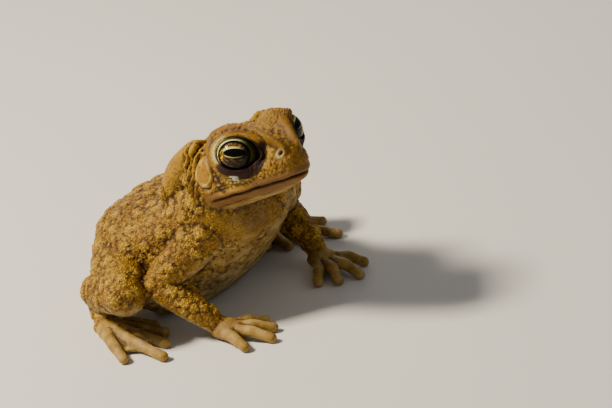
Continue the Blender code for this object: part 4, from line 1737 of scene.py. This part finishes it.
        # spot: the painted white highlight under the eye
        spot = np.linalg.norm(at.paired - self.head.fleck, axis=1) + 0.2 * waves(at.points, 1.0, 22)
        coats = {
            # wart tops, gland and cheek, and the painted highlight on the upper lid's edge
            Region.WART: np.maximum.reduce([tops, 0.22 * gland, cheek, 0.6 * lit]),
            Region.GRAIN: self.grain_coat(at, crest, gland),
            Region.CREST: brown * (1 - at.inside_lids),
            Region.LIP: at.lips * (1 - 0.75 * cheek),
            Region.LID: at.inside_lids * at.upper_lid * (1 - ridge(at.opening, 1.22, 0.13) * over_eye),
            # the lower lid, darkened as painted shade, and the painted shade of the dip ahead of the eye
            Region.MEMBRANE: np.maximum(at.inside_lids * lower, dent),
            Region.DRUM: step_down(at.drum, 2.0, 2.5),
            Region.RIM: np.maximum(np.clip(circle, 0, 1), 0.85 * at.lid_margin),
            Region.NOSTRIL: band(at.nose, 0.5, 0.78, 0.18) * (0.45 + 0.55 * step_up(behind_nose, -0.7, 0.5)),
            Region.PALE: self.pale_coat(at),
            Region.SCORCH: self.patch_and_shade_coat(at),
            # a painted white highlight under the eye, and a little white on the lid's rear margin
            Region.FLECK: np.maximum(0.95 * step_down(spot, 0.85, 1.15), 0.18 * at.lid_margin),
        }
        for region, values in coats.items():
            paint(mesh, region, values)

    def grain_coat(self, at: Survey, crest: Numbers, gland: Numbers) -> Numbers:
        """Where the skin is granular.

        Args:
            at: The skin's survey.
            crest: Where the crests are.
            gland: Where the glands are.

        Returns:
            The number for each point.
        """
        lids = at.inside_lids * (1 - 0.5 * at.upper_lid)
        flat = np.maximum(0.6 * (at.drum < 3.1), 1.0 * (at.nose < 1.2))
        smooth = np.maximum.reduce([0.6 * crest, 0.8 * at.lips, lids, flat])
        grain = (1 - smooth) * (1 - 0.6 * gland) * (0.35 + 0.65 * step_up(at.digits, 2.2, 3.4))
        grain *= (1 - 0.6 * at.folds) * (1 - 0.5 * at.face * (1 - at.throat))
        return grain * (1 - 0.35 * at.underside)

    def pale_coat(self, at: Survey) -> Numbers:
        """Where the skin is pale: belly, throat, chest and digits."""
        low = step_down(at.points[:, 2], 9.0, 15.0)
        middle = step_down(np.abs(at.points[:, 0] + 1.5), 9.0, 14.0)
        chest = 0.7 * step_up(-at.outward[:, 1], 0.25, 0.7) * middle * low
        belly = at.underside * np.maximum(low, 0.7)
        digits = 0.55 * step_down(at.digits, 2.0, 3.2)
        return np.clip(np.maximum.reduce([belly, 0.3 * at.throat, chest, digits]), 0, 1)

    def patch_and_shade_coat(self, at: Survey) -> Numbers:
        """Where the skin is painted nearly black: the cheek's dark patch, and painted shade in the nostrils'
        holes, the groove over the eye and the crease along the lid's edge.
        """
        patch = step_down(line_distance(at.paired, self.head.dark_patch), 1.0, 1.9)
        patch *= step_up(waves(at.points, 1.1, 8), -0.75, -0.15) * step_up(at.drum, 2.7, 3.1)
        over_eye = at.upper_lid * at.near_eye
        # painted shade in the groove over the upper lid and in the crease along its edge
        groove = ridge(at.opening, 1.58, 0.16) * over_eye * (0.6 + 0.4 * waves(at.points, 1.2, 15))
        crease = ridge(at.opening, 1.07, 0.06) * over_eye * (1 - at.lid_margin)
        # the nostrils' holes are painted dark as shade
        return np.clip(patch + step_down(at.nose, 0.46, 0.62) + 0.6 * groove + 0.7 * crease, 0, 1)

    def paint_hollow_shade(self, mesh: Mesh) -> None:
        """Paints shade into creases, darker the further a point lies under its neighbours, and along the slit
        of the mouth.
        """
        at, ends = self.survey(mesh), edge_ends(mesh)
        mean = at.points
        for _ in range(3):
            mean = neighbour_mean(mean, ends)
        depth = np.einsum("ij,ij->i", mean - at.points, at.outward)
        # painted shade along the slit of the mouth, besides the creases
        mouth = ridge(at.above, -0.05, 0.42) * step_down(at.paired[:, 1], 7.5, 9.0)
        paint(mesh, Region.HOLLOW, np.maximum(0.85 * step_up(depth, 0.008, 0.075), 0.9 * mouth))

    def build(self, finish: Material) -> Object:
        """Makes the skin.

        Args:
            finish: The skin's material.

        Returns:
            The skin's object.
        """
        mesh = self.socketed(self.blank())
        log.info("skin blank: %d points", len(mesh.vertices))
        mesh = self.with_fine_features(mesh)
        self.shape_face(mesh)
        tops = self.raise_warts(mesh)
        self.paint_regions(mesh, tops)
        mesh = thinned(self.grain.grown(mesh, finish), self.triangles)
        points = places(mesh)
        points[:, 2] = np.maximum(points[:, 2], 0.0)
        put(mesh, points)
        self.paint_hollow_shade(mesh)
        return finished("toad_skin", mesh, finish)


def search_tree(points: Numbers) -> KDTree:
    """A search tree over the points."""
    tree = KDTree(len(points))
    for index, place in enumerate(points.tolist()):
        tree.insert(place, index)
    tree.balance()
    return tree


def finished(name: str, mesh: Mesh, finish: Material) -> Object:
    """A finished piece: in metres, on the ground shift, smooth and dressed.

    Args:
        name: The piece's name.
        mesh: Its mesh, in millimetres.
        finish: Its material.

    Returns:
        The piece's object, at the origin.
    """
    mesh.transform(Matrix.Scale(METRES_PER_MM, 4) @ Matrix.Translation(GROUND_SHIFT))
    mesh.materials.clear()
    mesh.materials.append(finish)
    mesh.shade_smooth()
    mesh.name = name
    mesh.calc_loop_triangles()
    log.info("%s: %d triangles", name, len(mesh.loop_triangles))
    return new_object(name, mesh)


@dataclass
class Eyeball:
    """One eye: a ball with a slightly fuller cornea."""

    side: Side
    head_frame: HeadFrame
    eyes: EyeForm
    segments: int = 72
    cornea_rise: float = 0.22
    cornea_radius: float = 3.6

    def build(self, finish: Material) -> Object:
        """Makes the eye and stores each point's place as seen along the look."""
        mesh = ball((0, 0, 0), (self.eyes.radius,) * 3, segments=self.segments)
        points = places(mesh)
        away = np.hypot(points[:, 0], points[:, 1])
        points[:, 2] += self.cornea_rise * bump(away, self.cornea_radius) * (points[:, 2] > 0)
        put(mesh, points)
        look = mesh.attributes.new("look", "FLOAT_VECTOR", "POINT")
        look.data.foreach_set("vector", np.ascontiguousarray(points, np.float32).ravel())
        mesh.transform(self.eyes.lids())
        if self.side is Side.LEFT:
            mesh.transform(ACROSS)
            mesh.flip_normals()
        mesh.transform(self.head_frame.matrix())
        return finished("eyeball_" + self.side.label, mesh, finish)


# Studio


@dataclass(frozen=True)
class Lamp:
    """A soft square lamp that looks at the toad.

    Args:
        name: The lamp's name.
        way: The direction that it stands in, to the right, up and back along the camera's axes.
        reach: How far off it stands, in metres.
        size: The side of the square.
        power: Its strength in watts.
        colour: Its tint.
        glints: Whether it shows as a highlight.
    """

    name: str
    way: Place
    reach: float
    size: float
    power: float
    colour: Colour
    glints: bool = True

    def build(self, right: Vector, upright: Vector, back: Vector) -> None:
        """Hangs the lamp.

        Args:
            right: The camera's right.
            upright: The camera's up.
            back: The camera's back.
        """
        data = bpy.data.lights.new(self.name, "AREA")
        data.size = self.size
        data.energy = self.power
        data.color = self.colour
        obj = new_object(self.name, data)
        obj.visible_glossy = self.glints
        away = (self.way[0] * right + self.way[1] * upright + self.way[2] * back).normalized()
        middle = Vector((0, 0, 0.02))
        turn = away.to_track_quat("Z", "Y").to_matrix().to_4x4()
        obj.matrix_world = Matrix.Translation(middle + away * self.reach) @ turn


@dataclass
class Studio:
    """The camera, floor and lights."""

    # The photograph's frame: right and up across it, and the anchor's place in millimetres and in pixels
    right: Place = (0.613, -0.771, -0.174)
    upright: Place = (0.422, 0.132, 0.897)
    anchor: Place = (-8.887, -15.09, 39.607)
    anchor_pixel: Pair = (239.5, 157.0)
    frame_pixels: Pair = (612.0, 408.0)
    pixels_per_mm: float = 4.8
    distance: float = 700.0
    sensor: float = 36.0
    lamps: tuple[Lamp, ...] = (
        Lamp("key", (-0.95, 0.75, 0.38), 0.55, 0.11, 6.2, (1.0, 0.89, 0.70)),
        Lamp("fill", (0.9, 0.5, 0.5), 0.8, 0.7, 0.75, (0.94, 0.96, 1.0), glints=False),
        Lamp("rim", (-0.2, 0.6, -0.9), 0.7, 0.4, 1.3, (1.0, 0.90, 0.74)),
    )
    sky: Colour = (0.86, 0.88, 0.9)
    sky_strength: float = 0.2
    floor_size: float = 4.0

    def axes(self) -> tuple[Vector, Vector, Vector]:
        """The camera's right, up and back."""
        right = Vector(self.right).normalized()
        upright = Vector(self.upright)
        upright = (upright - upright.dot(right) * right).normalized()
        return right, upright, right.cross(upright)

    def camera(self) -> None:
        """Sets the camera at the photograph's angle and framing."""
        right, upright, back = self.axes()
        width, height = self.frame_pixels
        across = (width / 2 - self.anchor_pixel[0]) / self.pixels_per_mm
        down = (height / 2 - self.anchor_pixel[1]) / self.pixels_per_mm
        target = Vector(self.anchor) + Vector(GROUND_SHIFT) + right * across - upright * down
        place = (target + back * self.distance) * METRES_PER_MM
        data = bpy.data.cameras.new("camera")
        data.sensor_width = self.sensor
        data.lens = self.sensor * self.distance / (width / self.pixels_per_mm)
        data.clip_start = 0.01
        data.clip_end = 20.0
        obj = new_object("camera", data)
        turn = Matrix((right, upright, back)).transposed().to_4x4()
        obj.matrix_world = Matrix.Translation(place) @ turn
        bpy.context.scene.camera = obj

    def build(self) -> None:
        """Makes the floor, the lamps, the backdrop light and the camera."""
        work = bmesh.new()
        bmesh.ops.create_grid(work, x_segments=2, y_segments=2, size=self.floor_size)
        mesh = mesh_from(work)
        mesh.name = "floor"
        mesh.materials.append(FloorFinish().material())
        floor = new_object("floor", mesh)
        for lamp in self.lamps:
            lamp.build(*self.axes())
        world = bpy.data.worlds.new("studio")
        world.use_nodes = True
        light = world.node_tree.nodes["Background"]
        light.inputs["Color"].default_value = (*self.sky, 1)
        light.inputs["Strength"].default_value = self.sky_strength
        bpy.context.scene.world = world
        self.camera()


def main() -> None:
    """Builds the skin, the eyes and the studio, in that order."""
    logging.basicConfig(level=logging.INFO, format="%(name)s %(message)s", force=True)
    head_frame, eyes = HeadFrame(), EyeForm()
    skin = ToadSkin(head_frame, HeadForm(), eyes, TorsoForm(), LimbForm(), SkinGrain())
    hide = SkinFinish().material(mottle_group())
    body = skin.build(hide)
    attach(body, "root")
    flesh = [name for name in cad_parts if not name.startswith("eye_")]
    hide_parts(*flesh)
    wet = EyeFinish().material()
    for side in Side:
        eye = Eyeball(side, head_frame, eyes).build(wet)
        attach(eye, "root")
        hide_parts("eye_" + side.label)
    Studio().build()


if __name__ == "__main__":
    main()
